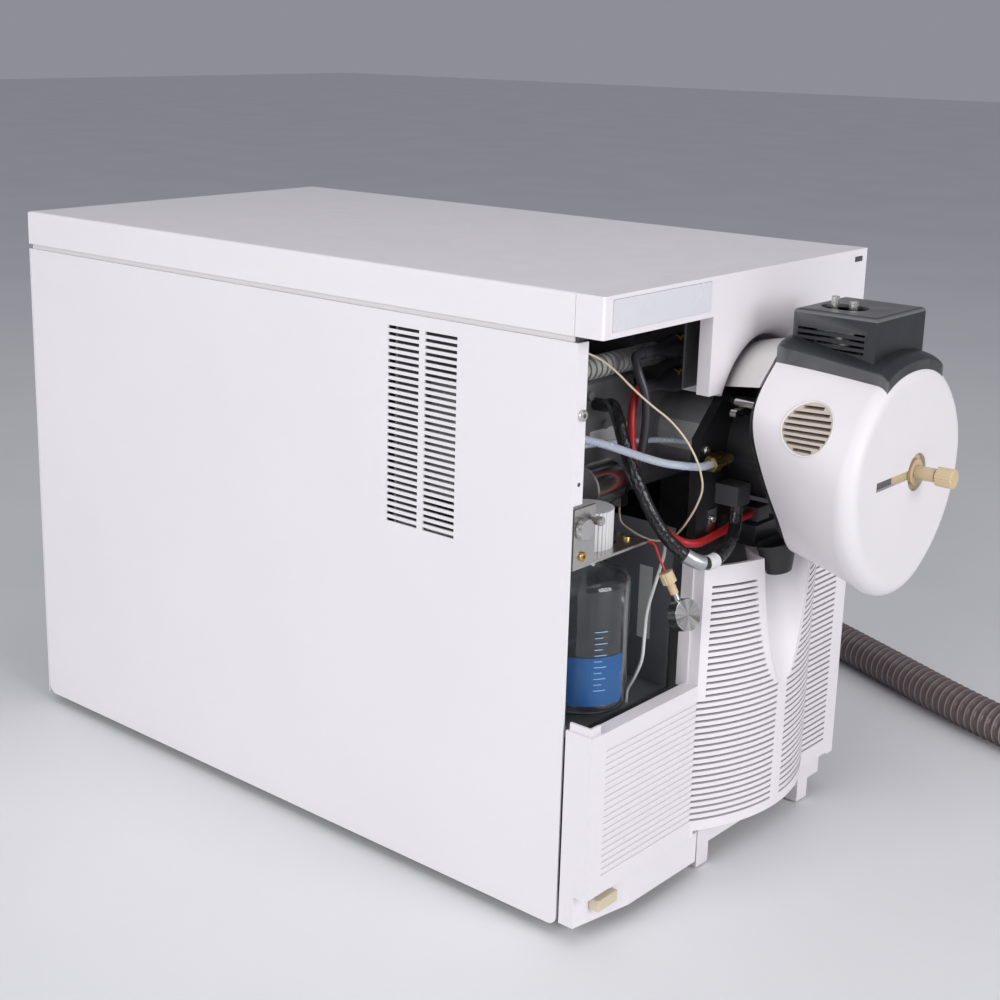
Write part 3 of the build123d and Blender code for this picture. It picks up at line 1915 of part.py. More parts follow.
if __name__ == "__main__":
    keep(make_top_cover(), "top_cover")
    keep(make_side_panel(False), "left_side_panel")
    keep(make_side_panel(True), "right_side_panel")
    keep(make_base_pan(), "base_pan")
    keep(make_feet(), "feet")
    keep(make_bulkhead(), "bulkhead")
    keep(make_front_frame(), "front_frame")
    keep(make_rear_panel(), "rear_panel")
    keep(make_power_inlet(), "power_inlet")
    keep(make_upper_bezel(), "front_upper_bezel")
    keep(make_lower_bezel(), "front_lower_bezel")
    keep(make_name_plate(), "name_plate")
    keep(make_status_lamp(), "status_lamp")
    keep(make_power_button(), "power_button")
    keep(make_bay_liner(), "bay_liner")
    keep(make_bottle_bracket(), "bottle_bracket")
    keep(make_thumb_screw(), "thumb_screw")
    keep(make_bottle(), "calibrant_bottle")
    keep(make_bottle_lid(), "bottle_lid")
    keep(make_manifold(), "manifold")
    keep(make_boot(0), "upper_boot")
    keep(make_boot(1), "lower_boot")
    keep(make_air_duct(), "air_duct")
    keep(make_pump_motor(), "pump_motor")
    keep(make_cable_sockets(), "cable_sockets")
    keep(make_brass_fitting(), "brass_fitting")
    keep(make_inlet_filter(), "inlet_filter")
    keep(make_filter_fitting(), "filter_fitting")
    keep(make_filter_tube(), "filter_tube")
    keep(make_tube(loom_route, loom_radius), "wire_loom")
    keep(make_tube(supply_route, supply_radius), "supply_lead")
    keep(make_tube(signal_route, signal_radius), "signal_lead")
    keep(make_tube(capillary_route, capillary_radius), "capillary")
    keep(make_tube(gas_tube_route, gas_tube_radius), "gas_tube")
    keep(make_tube(vent_tube_route, vent_tube_radius), "vent_tube")
    keep(make_tube(drip_tube_route, drip_tube_radius), "drip_tube")
    keep(make_gas_ports(), "gas_ports")
    keep(make_data_sockets(), "data_sockets")
    keep(make_optics_housing(), "optics_housing")
    keep(make_terminal_block(), "terminal_block")
    keep(make_source_mount(), "source_mount")
    keep(make_drain_spout(), "drain_spout")
    keep(make_hinge_bracket(), "hinge_bracket")
    keep(make_hinge_pin(), "hinge_pin")
    keep(make_latch_lever(), "latch_lever")
    keep(make_source_housing(), "source_housing")
    keep(make_source_top_cover(), "source_top_cover")
    keep(make_source_back_plate(), "source_back_plate")
    keep(make_keeper_stud(), "keeper_stud")
    keep(make_hinge_leaf(), "hinge_leaf")
    keep(make_source_shroud(), "source_shroud")
    keep(make_sprayer(), "sprayer")
    keep(make_adjuster(0), "left_adjuster")
    keep(make_adjuster(1), "right_adjuster")
    keep(make_probe_plate(), "probe_plate")
    keep(make_probe(), "probe")
    keep(make_foreline_elbow(), "foreline_elbow")
    keep(make_flange_clamp(), "flange_clamp")
    keep(make_hose(), "vacuum_hose")
    keep(make_hose_end(), "hose_end")
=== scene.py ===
"""Dresses the bench mass spectrometer: finishes, small fittings, hose, floor and light.

Lengths are metres in the part's own frame: +Z up, the source faces -Y, and the origin is
on the table under the middle of the case and its source.
"""

import logging
import math
from dataclasses import dataclass, field
from enum import Enum

import bpy
from mathutils import Matrix, Vector


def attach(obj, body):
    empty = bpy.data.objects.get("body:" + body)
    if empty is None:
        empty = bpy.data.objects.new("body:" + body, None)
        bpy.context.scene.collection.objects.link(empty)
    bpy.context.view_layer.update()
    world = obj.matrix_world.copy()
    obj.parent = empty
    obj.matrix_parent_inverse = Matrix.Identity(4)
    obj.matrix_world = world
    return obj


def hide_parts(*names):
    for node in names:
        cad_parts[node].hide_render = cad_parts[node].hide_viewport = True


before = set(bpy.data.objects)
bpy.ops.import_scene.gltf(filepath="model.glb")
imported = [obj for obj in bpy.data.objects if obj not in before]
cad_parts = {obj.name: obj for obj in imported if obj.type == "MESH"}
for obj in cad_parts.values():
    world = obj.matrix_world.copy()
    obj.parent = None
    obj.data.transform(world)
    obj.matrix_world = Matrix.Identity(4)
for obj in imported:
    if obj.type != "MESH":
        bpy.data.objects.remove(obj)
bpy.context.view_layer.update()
LOG = logging.getLogger("spectrometer")

Point = tuple[float, float, float]
Colour = tuple[float, float, float]


def at(u: float, v: float, w: float) -> Point:
    """Turns the case's own measure into the part's frame.

    Args:
        u: Millimetres to the right of the case's left side.
        v: Millimetres behind the upper bezel's face.
        w: Millimetres above the side panels' lower edge.

    Returns:
        The same point in metres, in the part's frame.
    """
    return ((u - 184.0) / 1000.0, (v - 287.0) / 1000.0, (w + 8.0) / 1000.0)


AHEAD = (0, -1, 0)
BEHIND = (0, 1, 0)
ABOVE = (0, 0, 1)
RIGHT = (1, 0, 0)
FILM = 0.00025  # thickness of a label or printed mark

# places that a finish and a piece share
VENT_CENTRE = at(224.0, -79.5, 378.0)
VENT_RADIUS = 0.0182
FILTER_CENTRE = at(105.0, -9.5, 229.0)
FILTER_AXIS = (-0.206, -0.928, 0.309)


# ------------------------------------------------------------------ finishes
class Grain(Enum):
    """How the fine relief of a surface runs."""

    EVEN = (1.0, 1.0, 1.0)
    ALONG_X = (0.04, 1.0, 1.0)
    ALONG_Y = (1.0, 0.04, 1.0)
    ALONG_Z = (1.0, 1.0, 0.04)


class Nodes:
    """Short calls for wiring one material's node tree."""

    def __init__(self, name: str) -> None:
        """Starts a material with a principled shader.

        Args:
            name: Name of the new material.
        """
        self.material = bpy.data.materials.new(name)
        self.material.use_nodes = True
        self.tree = self.material.node_tree
        self.shader = self.tree.nodes["Principled BSDF"]
        self.place = self.tree.nodes.new("ShaderNodeTexCoord").outputs["Object"]

    def add(self, kind: str, inputs: dict | None = None, **settings: object) -> bpy.types.Node:
        """Adds a node.

        Args:
            kind: Node type after its "ShaderNode" prefix.
            inputs: Socket names with the values or outputs they take.
            **settings: Properties set on the node itself.

        Returns:
            The new node.
        """
        node = self.tree.nodes.new("ShaderNode" + kind)
        for key, value in settings.items():
            setattr(node, key, value)
        for key, value in (inputs or {}).items():
            if isinstance(value, bpy.types.NodeSocket):
                self.tree.links.new(value, node.inputs[key])
            else:
                node.inputs[key].default_value = value
        return node

    def shade(self, **values: object) -> None:
        """Sets or links the shader's own sockets.

        Args:
            **values: Socket names, with underscores for spaces, and their values.
        """
        for key, value in values.items():
            socket = self.shader.inputs[key.replace("_", " ")]
            if isinstance(value, bpy.types.NodeSocket):
                self.tree.links.new(value, socket)
            else:
                socket.default_value = value

    def noise(self, scale: float, stretch: Point = (1.0, 1.0, 1.0), detail: float = 4.0):
        """Cloudy texture in the part's frame.

        Args:
            scale: Cells per metre.
            stretch: Factor on the scale along each axis.
            detail: Octaves of finer cloud.

        Returns:
            The socket with values round one half.
        """
        mapped = self.add("Mapping", {"Vector": self.place, "Scale": stretch})
        node = self.add(
            "TexNoise",
            {"Vector": mapped.outputs["Vector"], "Scale": scale, "Detail": detail},
        )
        return node.outputs["Fac"]

    def span(self, value, low: float, high: float, source: tuple[float, float] = (0.3, 0.7)):
        """Maps a value onto another span.

        Args:
            value: Socket to map.
            low: Result at the start of the source span.
            high: Result at its end.
            source: Span of the incoming value.

        Returns:
            The mapped socket.
        """
        node = self.add(
            "MapRange",
            {
                "Value": value,
                "From Min": source[0],
                "From Max": source[1],
                "To Min": low,
                "To Max": high,
            },
        )
        return node.outputs["Result"]

    def mix(self, share, first: Colour, second: Colour):
        """Mixes two colours.

        Args:
            share: Socket or number, 0 for the first colour.
            first: Colour or socket.
            second: Colour or socket.

        Returns:
            The mixed colour's socket.
        """
        node = self.add("Mix", data_type="RGBA")
        ends = (("Factor", share), (6, first), (7, second))
        for key, value in ends:
            socket = node.inputs[0] if key == "Factor" else node.inputs[key]
            if isinstance(value, bpy.types.NodeSocket):
                self.tree.links.new(value, socket)
            elif key == "Factor":
                socket.default_value = value
            else:
                socket.default_value = (*value, 1.0)
        return node.outputs[2]

    def bump(self, height, strength: float, distance: float = 0.0003):
        """Links a height to the shader's normal.

        Args:
            height: Socket with the height.
            strength: Share of the relief that shows.
            distance: Metres of relief at full height.
        """
        node = self.add("Bump", {"Height": height, "Strength": strength, "Distance": distance})
        self.tree.links.new(node.outputs["Normal"], self.shader.inputs["Normal"])


@dataclass(frozen=True)
class Finish:
    """Opaque surface with clouded colour, fine relief, painted shade in its hollows and worn edges."""

    name: str
    colour: Colour
    roughness: float = 0.5
    metallic: float = 0.0
    cloud: float = 0.05
    cells: float = 1400.0
    relief: float = 0.12
    grain: Grain = Grain.EVEN
    wear: float = 0.12
    # strength of the painted shade in hollows
    painted_shade: float = 0.25
    coat: float = 0.0
    depth: float = 0.0003

    def tint(self, nodes: Nodes, tone):
        """Changes the colour where a kind of finish paints light or shade into it.

        Args:
            nodes: The material's nodes.
            tone: Socket with the colour so far.

        Returns:
            The socket with the colour to use.
        """
        return tone

    def build(self) -> bpy.types.Material:
        """Makes the material.

        Returns:
            The finished material.
        """
        nodes = Nodes(self.name)
        low = tuple(channel * (1.0 - self.cloud * 2) for channel in self.colour)
        tone = nodes.mix(nodes.span(nodes.noise(7.0), 0.0, 1.0), low, self.colour)
        # painted shade: ambient occlusion darkens the colour in hollows and creases
        hollow = nodes.add("AmbientOcclusion", {"Distance": 0.012}, samples=4)
        shade_tone = tuple(channel * 0.55 for channel in self.colour)
        tone = nodes.mix(
            nodes.span(hollow.outputs["AO"], self.painted_shade, 0.0, (0.35, 0.95)), tone, shade_tone
        )
        edge = nodes.add("NewGeometry").outputs["Pointiness"]
        worn = tuple(channel + (1.0 - channel) * 0.35 for channel in self.colour)
        tone = nodes.mix(nodes.span(edge, 0.0, self.wear, (0.53, 0.62)), tone, worn)
        tone = self.tint(nodes, tone)
        patch = nodes.noise(45.0, detail=2.0)
        nodes.shade(
            Base_Color=tone,
            Metallic=self.metallic,
            Roughness=nodes.span(patch, self.roughness * 0.86, min(1.0, self.roughness * 1.14)),
            Coat_Weight=self.coat,
            Coat_Roughness=0.18,
        )
        nodes.bump(nodes.noise(self.cells, self.grain.value, 3.0), self.relief, self.depth)
        return nodes.material


@dataclass(frozen=True)
class ShadedVentFinish(Finish):
    """Finish with painted shade in one round field, the recessed vent, on the left flank."""

    centre: Point = (0.0, 0.0, 0.0)
    radius: float = 0.01
    # colour of the painted shade inside the vent
    vent_shade: Colour = (0.5, 0.5, 0.5)

    def tint(self, nodes: Nodes, tone):
        """Paints the shade of the recessed vent into the round field.

        Args:
            nodes: The material's nodes.
            tone: Socket with the colour so far.

        Returns:
            The socket with the colour to use.
        """
        flat = nodes.add("VectorMath", {0: nodes.place, 1: (0.0, 1.0, 1.0)}, operation="MULTIPLY")
        ends = {0: flat.outputs[0], 1: (0.0, self.centre[1], self.centre[2])}
        reach = nodes.add("VectorMath", ends, operation="DISTANCE").outputs["Value"]
        inside = nodes.add("Math", {0: reach, 1: self.radius}, operation="LESS_THAN").outputs[0]
        side = nodes.add("SeparateXYZ", {0: nodes.place}).outputs[0]
        left = nodes.add("Math", {0: side, 1: self.centre[0]}, operation="LESS_THAN").outputs[0]
        both = nodes.add("Math", {0: inside, 1: left}, operation="MULTIPLY").outputs[0]
        return nodes.mix(both, tone, self.vent_shade)


@dataclass(frozen=True)
class RayHighlightFinish(Finish):
    """Turned face with painted radial highlights: light and dark rays about its centre stand in for its
    reflection.
    """

    centre: Point = (0.0, 0.0, 0.0)
    axis: Point = (0.0, 0.0, 1.0)

    def tint(self, nodes: Nodes, tone):
        """Paints radial highlights: the metal is darker and lighter in rays about the axis.

        Args:
            nodes: The material's nodes.
            tone: Socket with the colour so far.

        Returns:
            The socket with the colour to use.
        """
        axis = Vector(self.axis).normalized()
        first = axis.orthogonal().normalized()
        ends = {0: nodes.place, 1: self.centre}
        offset = nodes.add("VectorMath", ends, operation="SUBTRACT").outputs[0]
        reaches = [
            nodes.add("VectorMath", {0: offset, 1: tuple(side)}, operation="DOT_PRODUCT")
            for side in (first, axis.cross(first))
        ]
        ends = {number: reach.outputs["Value"] for number, reach in enumerate(reaches)}
        angle = nodes.add("Math", ends, operation="ARCTAN2").outputs[0]
        # painted reflection: light and dark rays round the axis, put into the base colour
        rays = nodes.add(
            "TexNoise", {"W": angle, "Scale": 1.6, "Detail": 7.0}, noise_dimensions="1D"
        )
        darker = tuple(channel * 0.42 for channel in self.colour)
        return nodes.mix(nodes.span(rays.outputs["Fac"], 0.0, 1.0, (0.36, 0.62)), darker, tone)


@dataclass(frozen=True)
class ClearFinish:
    """Glass or clear plastic with faint waviness."""

    name: str
    colour: Colour
    roughness: float = 0.04
    density: float = 1.46
    clear: float = 1.0
    alpha: float = 1.0

    def build(self) -> bpy.types.Material:
        """Makes the material.

        Returns:
            The finished material.
        """
        nodes = Nodes(self.name)
        haze = nodes.span(nodes.noise(60.0), self.roughness * 0.6, self.roughness * 1.6)
        nodes.shade(
            Base_Color=(*self.colour, 1.0),
            Roughness=haze,
            IOR=self.density,
            Transmission_Weight=self.clear,
            Alpha=self.alpha,
        )
        nodes.bump(nodes.noise(40.0, detail=1.0), 0.02)
        return nodes.material


@dataclass(frozen=True)
class SpeckledLabel:
    """Plain adhesive label: one pale field with faint fibres."""

    name: str
    colour: Colour = (0.74, 0.74, 0.72)

    def build(self) -> bpy.types.Material:
        """Makes the material.

        Returns:
            The finished material.
        """
        nodes = Nodes(self.name)
        fibre = nodes.noise(2600.0, (1.0, 1.0, 0.2))
        darker = tuple(channel * 0.9 for channel in self.colour)
        nodes.shade(
            Base_Color=nodes.mix(nodes.span(fibre, 0.0, 1.0), darker, self.colour), Roughness=0.42
        )
        nodes.bump(fibre, 0.05)
        return nodes.material


class Finishes:
    """All the finishes of the instrument, each made once when first asked for."""

    RECIPES = (
        Finish("case_coat", (0.80, 0.775, 0.80), 0.50, cloud=0.012, cells=1500, relief=0.16),
        Finish("bezel_plastic", (0.80, 0.765, 0.80), 0.46, cloud=0.012, cells=2600, relief=0.08),
        Finish("drum_plastic", (0.73, 0.705, 0.69), 0.46, cloud=0.015, cells=2400, relief=0.05),
        # painted shade: the vent on the housing's left flank is tinted tan-grey for the shade in its
        # recess
        ShadedVentFinish(
            "source_plastic",
            (0.74, 0.71, 0.735),
            0.50,
            cloud=0.015,
            cells=2400,
            relief=0.05,
            centre=VENT_CENTRE,
            radius=VENT_RADIUS,
            vent_shade=(0.50, 0.43, 0.38),
        ),
        Finish("cover_black", (0.019, 0.020, 0.025), 0.40, cells=2600, relief=0.14, wear=0.32),
        Finish("black_plastic", (0.014, 0.014, 0.016), 0.42, cells=2200, relief=0.12, wear=0.12),
        Finish("black_coat", (0.014, 0.014, 0.016), 0.34, cells=1500, relief=0.10, wear=0.16),
        Finish("rubber", (0.022, 0.022, 0.024), 0.72, cells=1700, relief=0.18),
        Finish("zinc_sheet", (0.30, 0.31, 0.335), 0.40, 0.55, 0.16, 260, 0.05),
        Finish("dark_sheet", (0.085, 0.086, 0.092), 0.45, 0.3, 0.15, 900, 0.08),
        Finish("brushed_steel", (0.56, 0.55, 0.53), 0.27, 1.0, 0.04, 2400, 0.07, Grain.ALONG_Z),
        Finish("turned_steel", (0.63, 0.62, 0.60), 0.22, 1.0, 0.03, 3000, 0.05, Grain.ALONG_X),
        Finish("aluminium", (0.50, 0.50, 0.50), 0.38, 1.0, 0.06, 1800, 0.08, Grain.ALONG_X),
        Finish("cast_grey", (0.52, 0.52, 0.535), 0.44, 0.30, 0.10, 900, 0.14),
        Finish("dull_casting", (0.32, 0.32, 0.33), 0.46, 0.45, 0.10, 900, 0.14),
        # painted reflection: the filter's faced steel carries painted radial highlights
        RayHighlightFinish(
            "faced_steel",
            (0.78, 0.77, 0.75),
            0.24,
            1.0,
            0.03,
            2600,
            0.05,
            centre=FILTER_CENTRE,
            axis=FILTER_AXIS,
        ),
        Finish("brass", (0.62, 0.42, 0.15), 0.28, 1.0, 0.06, 1500, 0.05),
        Finish("duct_plastic", (0.40, 0.40, 0.38), 0.45, cells=1500, relief=0.06),
        Finish("silver_film", (0.42, 0.43, 0.46), 0.28, 0.6, 0.06, 900, 0.10),
        Finish("loom_wrap", (0.016, 0.016, 0.018), 0.22, cloud=0.12, cells=130, relief=0.9, depth=0.0022),
        Finish("tan_plastic", (0.60, 0.47, 0.28), 0.38, cells=2000, relief=0.05),
        Finish("white_plastic", (0.72, 0.72, 0.72), 0.42, cells=2000, relief=0.05),
        Finish("plate_film", (0.68, 0.68, 0.72), 0.26, cloud=0.01, cells=3000, relief=0.02),
        # dark lamp glass; the same finish also paints the shadow in the probe plate's slot
        Finish("lamp_glass_and_slot_shadow", (0.02, 0.02, 0.022), 0.16, cells=1200, relief=0.02, coat=0.5),
        Finish("red_jacket", (0.50, 0.018, 0.02), 0.42, cells=1800, relief=0.06),
        Finish("grey_jacket", (0.045, 0.045, 0.055), 0.32, cells=1800, relief=0.06),
        Finish("cream_tube", (0.66, 0.58, 0.42), 0.36, cells=1500, relief=0.03),
        Finish("yellow_mark", (0.72, 0.55, 0.03), 0.45, cells=1500, relief=0.03),
        Finish("hose_wall", (0.125, 0.095, 0.098), 0.30, cloud=0.12, cells=700, relief=0.10),
        Finish("hose_wire", (0.42, 0.33, 0.29), 0.34, cloud=0.10, cells=900, relief=0.06),
        ClearFinish("bottle_glass", (0.94, 0.97, 0.98)),
        ClearFinish("blue_film", (0.03, 0.15, 0.42), 0.24, 1.46, 0.0, 0.58),
        ClearFinish("pale_print", (0.30, 0.52, 0.82), 0.24, 1.46, 0.0, 0.85),
        ClearFinish("milky_tube", (0.72, 0.78, 0.90), 0.20, 1.38, 0.55),
        SpeckledLabel("blank_label"),
    )

    def __init__(self) -> None:
        """Starts with nothing made."""
        self.made: dict[str, bpy.types.Material] = {}

    def get(self, name: str) -> bpy.types.Material:
        """Gives a finish by name, and makes it the first time.

        Args:
            name: Name of one of the recipes.

        Returns:
            Its material.
        """
        if name not in self.made:
            recipe = next(recipe for recipe in self.RECIPES if recipe.name == name)
            self.made[name] = recipe.build()
        return self.made[name]


# ------------------------------------------------------------------ mesh making
class Maker:
    """Builds pieces and hangs each on the moving body that it rides on."""

    def __init__(self, finishes: Finishes) -> None:
        """Keeps the finishes at hand.

        Args:
            finishes: Where the pieces take their materials.
        """
        self.finishes = finishes

    def node(self, name: str, finish: str) -> bpy.types.Object:
        """Gives a solid of the frame its finish.

        Args:
            name: Node of the frame.
            finish: Name of the finish.

        Returns:
            The node's object.
        """
        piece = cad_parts[name]
        piece.data.materials.clear()
        piece.data.materials.append(self.finishes.get(finish))
        LOG.info("%s: %s", name, finish)
        return piece

    def mesh(
        self,
        name: str,
        points: list,
        faces: list,
        body: str,
        finishes: tuple[str, ...],
        marks: list[int] | None = None,
        smooth: float = 35.0,
    ) -> bpy.types.Object:
        """Makes a piece from points and faces.

        Args:
            name: The piece's name.
            points: Vertices in the part's frame.
            faces: Vertex numbers of each face.
            body: Moving body that it rides on.
            finishes: Finishes of the piece.
            marks: For each face, which finish it takes.
            smooth: Edges sharper than this many degrees stay crisp.

        Returns:
            The new piece.
        """
        data = bpy.data.meshes.new(name)
        data.from_pydata([tuple(point) for point in points], [], faces)
        data.validate()
        data.update()
        for finish in finishes:
            data.materials.append(self.finishes.get(finish))
        if marks:
            data.polygons.foreach_set("material_index", marks)
        data.polygons.foreach_set("use_smooth", [True] * len(data.polygons))
        data.set_sharp_from_angle(angle=math.radians(smooth))
        piece = bpy.data.objects.new(name, data)
        bpy.context.scene.collection.objects.link(piece)
        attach(piece, body)
        LOG.info("%s: %d faces", name, len(faces))
        return piece

    def lathe(
        self,
        name: str,
        base: Point,
        axis: Point,
        profile: list[tuple[float, float]],
        body: str,
        finish: str,
        sides: int = 48,
        flutes: int = 0,
        flute_depth: float = 0.0,
    ) -> bpy.types.Object:
        """Turns a profile about an axis.

        Args:
            name: The piece's name.
            base: Point on the axis where heights start.
            axis: Direction of the axis.
            profile: Radius and height of each ring, in metres.
            body: Moving body that it rides on.
            finish: Finish of the piece.
            sides: Segments round the axis.
            flutes: Number of shallow flutes round it.
            flute_depth: Depth of the flutes.

        Returns:
            The new piece.
        """
        turn = Vector((0, 0, 1)).rotation_difference(Vector(axis))
        points, faces = [], []
        for radius, height in profile:
            for side in range(sides):
                angle = 2 * math.pi * side / sides
                reach = radius
                if flutes and radius > 0:
                    reach -= flute_depth * (0.5 - 0.5 * math.cos(flutes * angle))
                spot = Vector((reach * math.cos(angle), reach * math.sin(angle), height))
                points.append(Vector(base) + turn @ spot)
        for ring in range(len(profile) - 1):
            for side in range(sides):
                following = (side + 1) % sides
                low, high = ring * sides, (ring + 1) * sides
                faces.append((low + side, low + following, high + following, high + side))
        faces.append(tuple(reversed(range(sides))))
        faces.append(tuple(range((len(profile) - 1) * sides, len(profile) * sides)))
        return self.mesh(name, points, faces, body, (finish,))

    def tube(
        self,
        name: str,
        route: list[Point],
        radius: float,
        body: str,
        finish: str,
        sides: int = 16,
    ) -> bpy.types.Object:
        """Round cable or tube along a smooth route.

        Args:
            name: The piece's name.
            route: Control points of its line.
            radius: Radius in metres.
            body: Moving body that it rides on.
            finish: Finish of the piece.
            sides: Segments round it.

        Returns:
            The new piece.
        """
        line = Route(route).line(0.003)
        points, faces = [], []
        for spot, across, up in line:
            for side in range(sides):
                angle = 2 * math.pi * side / sides
                points.append(
                    spot + across * (radius * math.cos(angle)) + up * (radius * math.sin(angle))
                )
        for ring in range(len(line) - 1):
            for side in range(sides):
                following = (side + 1) % sides
                low, high = ring * sides, (ring + 1) * sides
                faces.append((low + side, low + following, high + following, high + side))
        faces.append(tuple(reversed(range(sides))))
        faces.append(tuple(range((len(line) - 1) * sides, len(line) * sides)))
        return self.mesh(name, points, faces, body, (finish,), smooth=60.0)

    def behind(self, name: str, place: float, finish: str) -> None:
        """Gives the faces of a node that lie behind a place another finish.

        Args:
            name: Node of the frame.
            place: Depth in the part's frame from which the finish holds.
            finish: Name of the finish.
        """
        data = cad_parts[name].data
        data.materials.append(self.finishes.get(finish))
        for face in data.polygons:
            if face.center.y > place:
                face.material_index = 1

    def band(
        self,
        name: str,
        base: Point,
        axis: Point,
        radius: float,
        strips: list[tuple[float, float, float, float]],
        body: str,
        finish: str,
    ) -> bpy.types.Object:
        """Thin curved strips on a round surface, as one piece.

        Args:
            name: The piece's name.
            base: Point on the surface's axis where heights start.
            axis: Direction of the axis.
            radius: The surface's radius.
            strips: For each, its first and last angle in degrees and its lowest and highest rise.
            body: Moving body that it rides on.
            finish: Finish of the piece.

        Returns:
            The new piece.
        """
        turn = Vector((0, 0, 1)).rotation_difference(Vector(axis))
        points, faces = [], []
        for start, end, low, high in strips:
            first, steps = len(points), max(2, round(abs(end - start) / 4))
            for step in range(steps + 1):
                angle = math.radians(start + (end - start) * step / steps)
                for reach in (radius, radius + FILM):
                    for rise in (low, high):
                        spot = Vector((reach * math.cos(angle), reach * math.sin(angle), rise))
                        points.append(Vector(base) + turn @ spot)
            for step in range(steps):
                a, b = first + 4 * step, first + 4 * (step + 1)
                faces += [
                    (a + 2, b + 2, b + 3, a + 3),
                    (a, a + 1, b + 1, b),
                    (a + 1, a + 3, b + 3, b + 1),
                    (a, b, b + 2, a + 2),
                ]
            last = first + 4 * steps
            faces += [(first, first + 2, first + 3, first + 1), (last, last + 1, last + 3, last + 2)]
        return self.mesh(name, points, faces, body, (finish,))

    def patch(
        self,
        name: str,
        corner: Point,
        across: Point,
        up: Point,
        lift: Point,
        finish: str,
        body: str = "case",
    ) -> bpy.types.Object:
        """Thin flat piece, such as a blank label.

        Args:
            name: The piece's name.
            corner: One corner on the surface that it lies on.
            across: Its first side, in metres.
            up: Its second side.
            lift: Its thickness, away from that surface.
            finish: Finish of the piece.
            body: Moving body that it rides on.

        Returns:
            The new piece.
        """
        start, first, second, third = (Vector(item) for item in (corner, across, up, lift))
        corners = [start, start + first, start + first + second, start + second]
        points = corners + [point + third for point in corners]
        faces = [(0, 3, 2, 1), (4, 5, 6, 7), (0, 1, 5, 4), (1, 2, 6, 5), (2, 3, 7, 6), (3, 0, 4, 7)]
        return self.mesh(name, points, faces, body, (finish,))

    def fasteners(self, name: str, heads: list["Head"], body: str, finish: str) -> bpy.types.Object:
        """Screw heads with a six-sided recess, as one piece.

        Args:
            name: The piece's name.
            heads: The heads.
            body: Moving body that they ride on.
            finish: Finish of the piece.

        Returns:
            The new piece.
        """
        points, faces = [], []
        for head in heads:
            first = len(points)
            points += head.points()
            faces += [tuple(first + corner for corner in face) for face in head.faces()]
        return self.mesh(name, points, faces, body, (finish,))

    def sleeve(
        self, name: str, route: list[Point], span: tuple[float, float], radius: float, finish: str
    ) -> bpy.types.Object:
        """Short sleeve on a stretch of a lead.

        Args:
            name: The piece's name.
            route: Control points of the lead's line.
            span: Where the sleeve starts and ends, as shares of the lead.
            radius: Radius in metres.
            finish: Finish of the piece.

        Returns:
            The new piece.
        """
        line = Route(route).line(0.002)
        low, high = (round(share * (len(line) - 1)) for share in span)
        return self.tube(name, [tuple(place[0]) for place in line[low : high + 1]], radius, "case", finish)


@dataclass(frozen=True)
class Head:
    """Round screw head with a six-sided recess."""

    base: Point
    axis: Point
    radius: float = 0.0035
    height: float = 0.0022
    sides: int = 24

    def points(self) -> list[Vector]:
        """Places the head's rings, from its seat to the floor of its recess.

        Returns:
            Points of all the rings.
        """
        turn = Vector((0, 0, 1)).rotation_difference(Vector(self.axis))
        rings = ((1.0, 0.0), (1.0, 0.55), (0.93, 0.85), (0.80, 1.0), (0.0, 1.0), (0.0, 0.35))
        points = []
        for share, rise in rings:
            for side in range(self.sides):
                angle = 2 * math.pi * side / self.sides
                reach = self.radius * share
                if share == 0.0:
                    turned = (angle + math.pi / 6) % (math.pi / 3) - math.pi / 6
                    reach = self.radius * 0.40 / math.cos(turned)
                spot = Vector((reach * math.cos(angle), reach * math.sin(angle), rise * self.height))
                points.append(Vector(self.base) + turn @ spot)
        return points

    def faces(self) -> list[tuple[int, ...]]:
        """Joins the rings.

        Returns:
            Point numbers of each face.
        """
        faces = [tuple(reversed(range(self.sides)))]
        for ring in range(5):
            for side in range(self.sides):
                following = (side + 1) % self.sides
                low, high = ring * self.sides, (ring + 1) * self.sides
                faces.append((low + side, low + following, high + following, high + side))
        faces.append(tuple(range(5 * self.sides, 6 * self.sides)))
        return faces


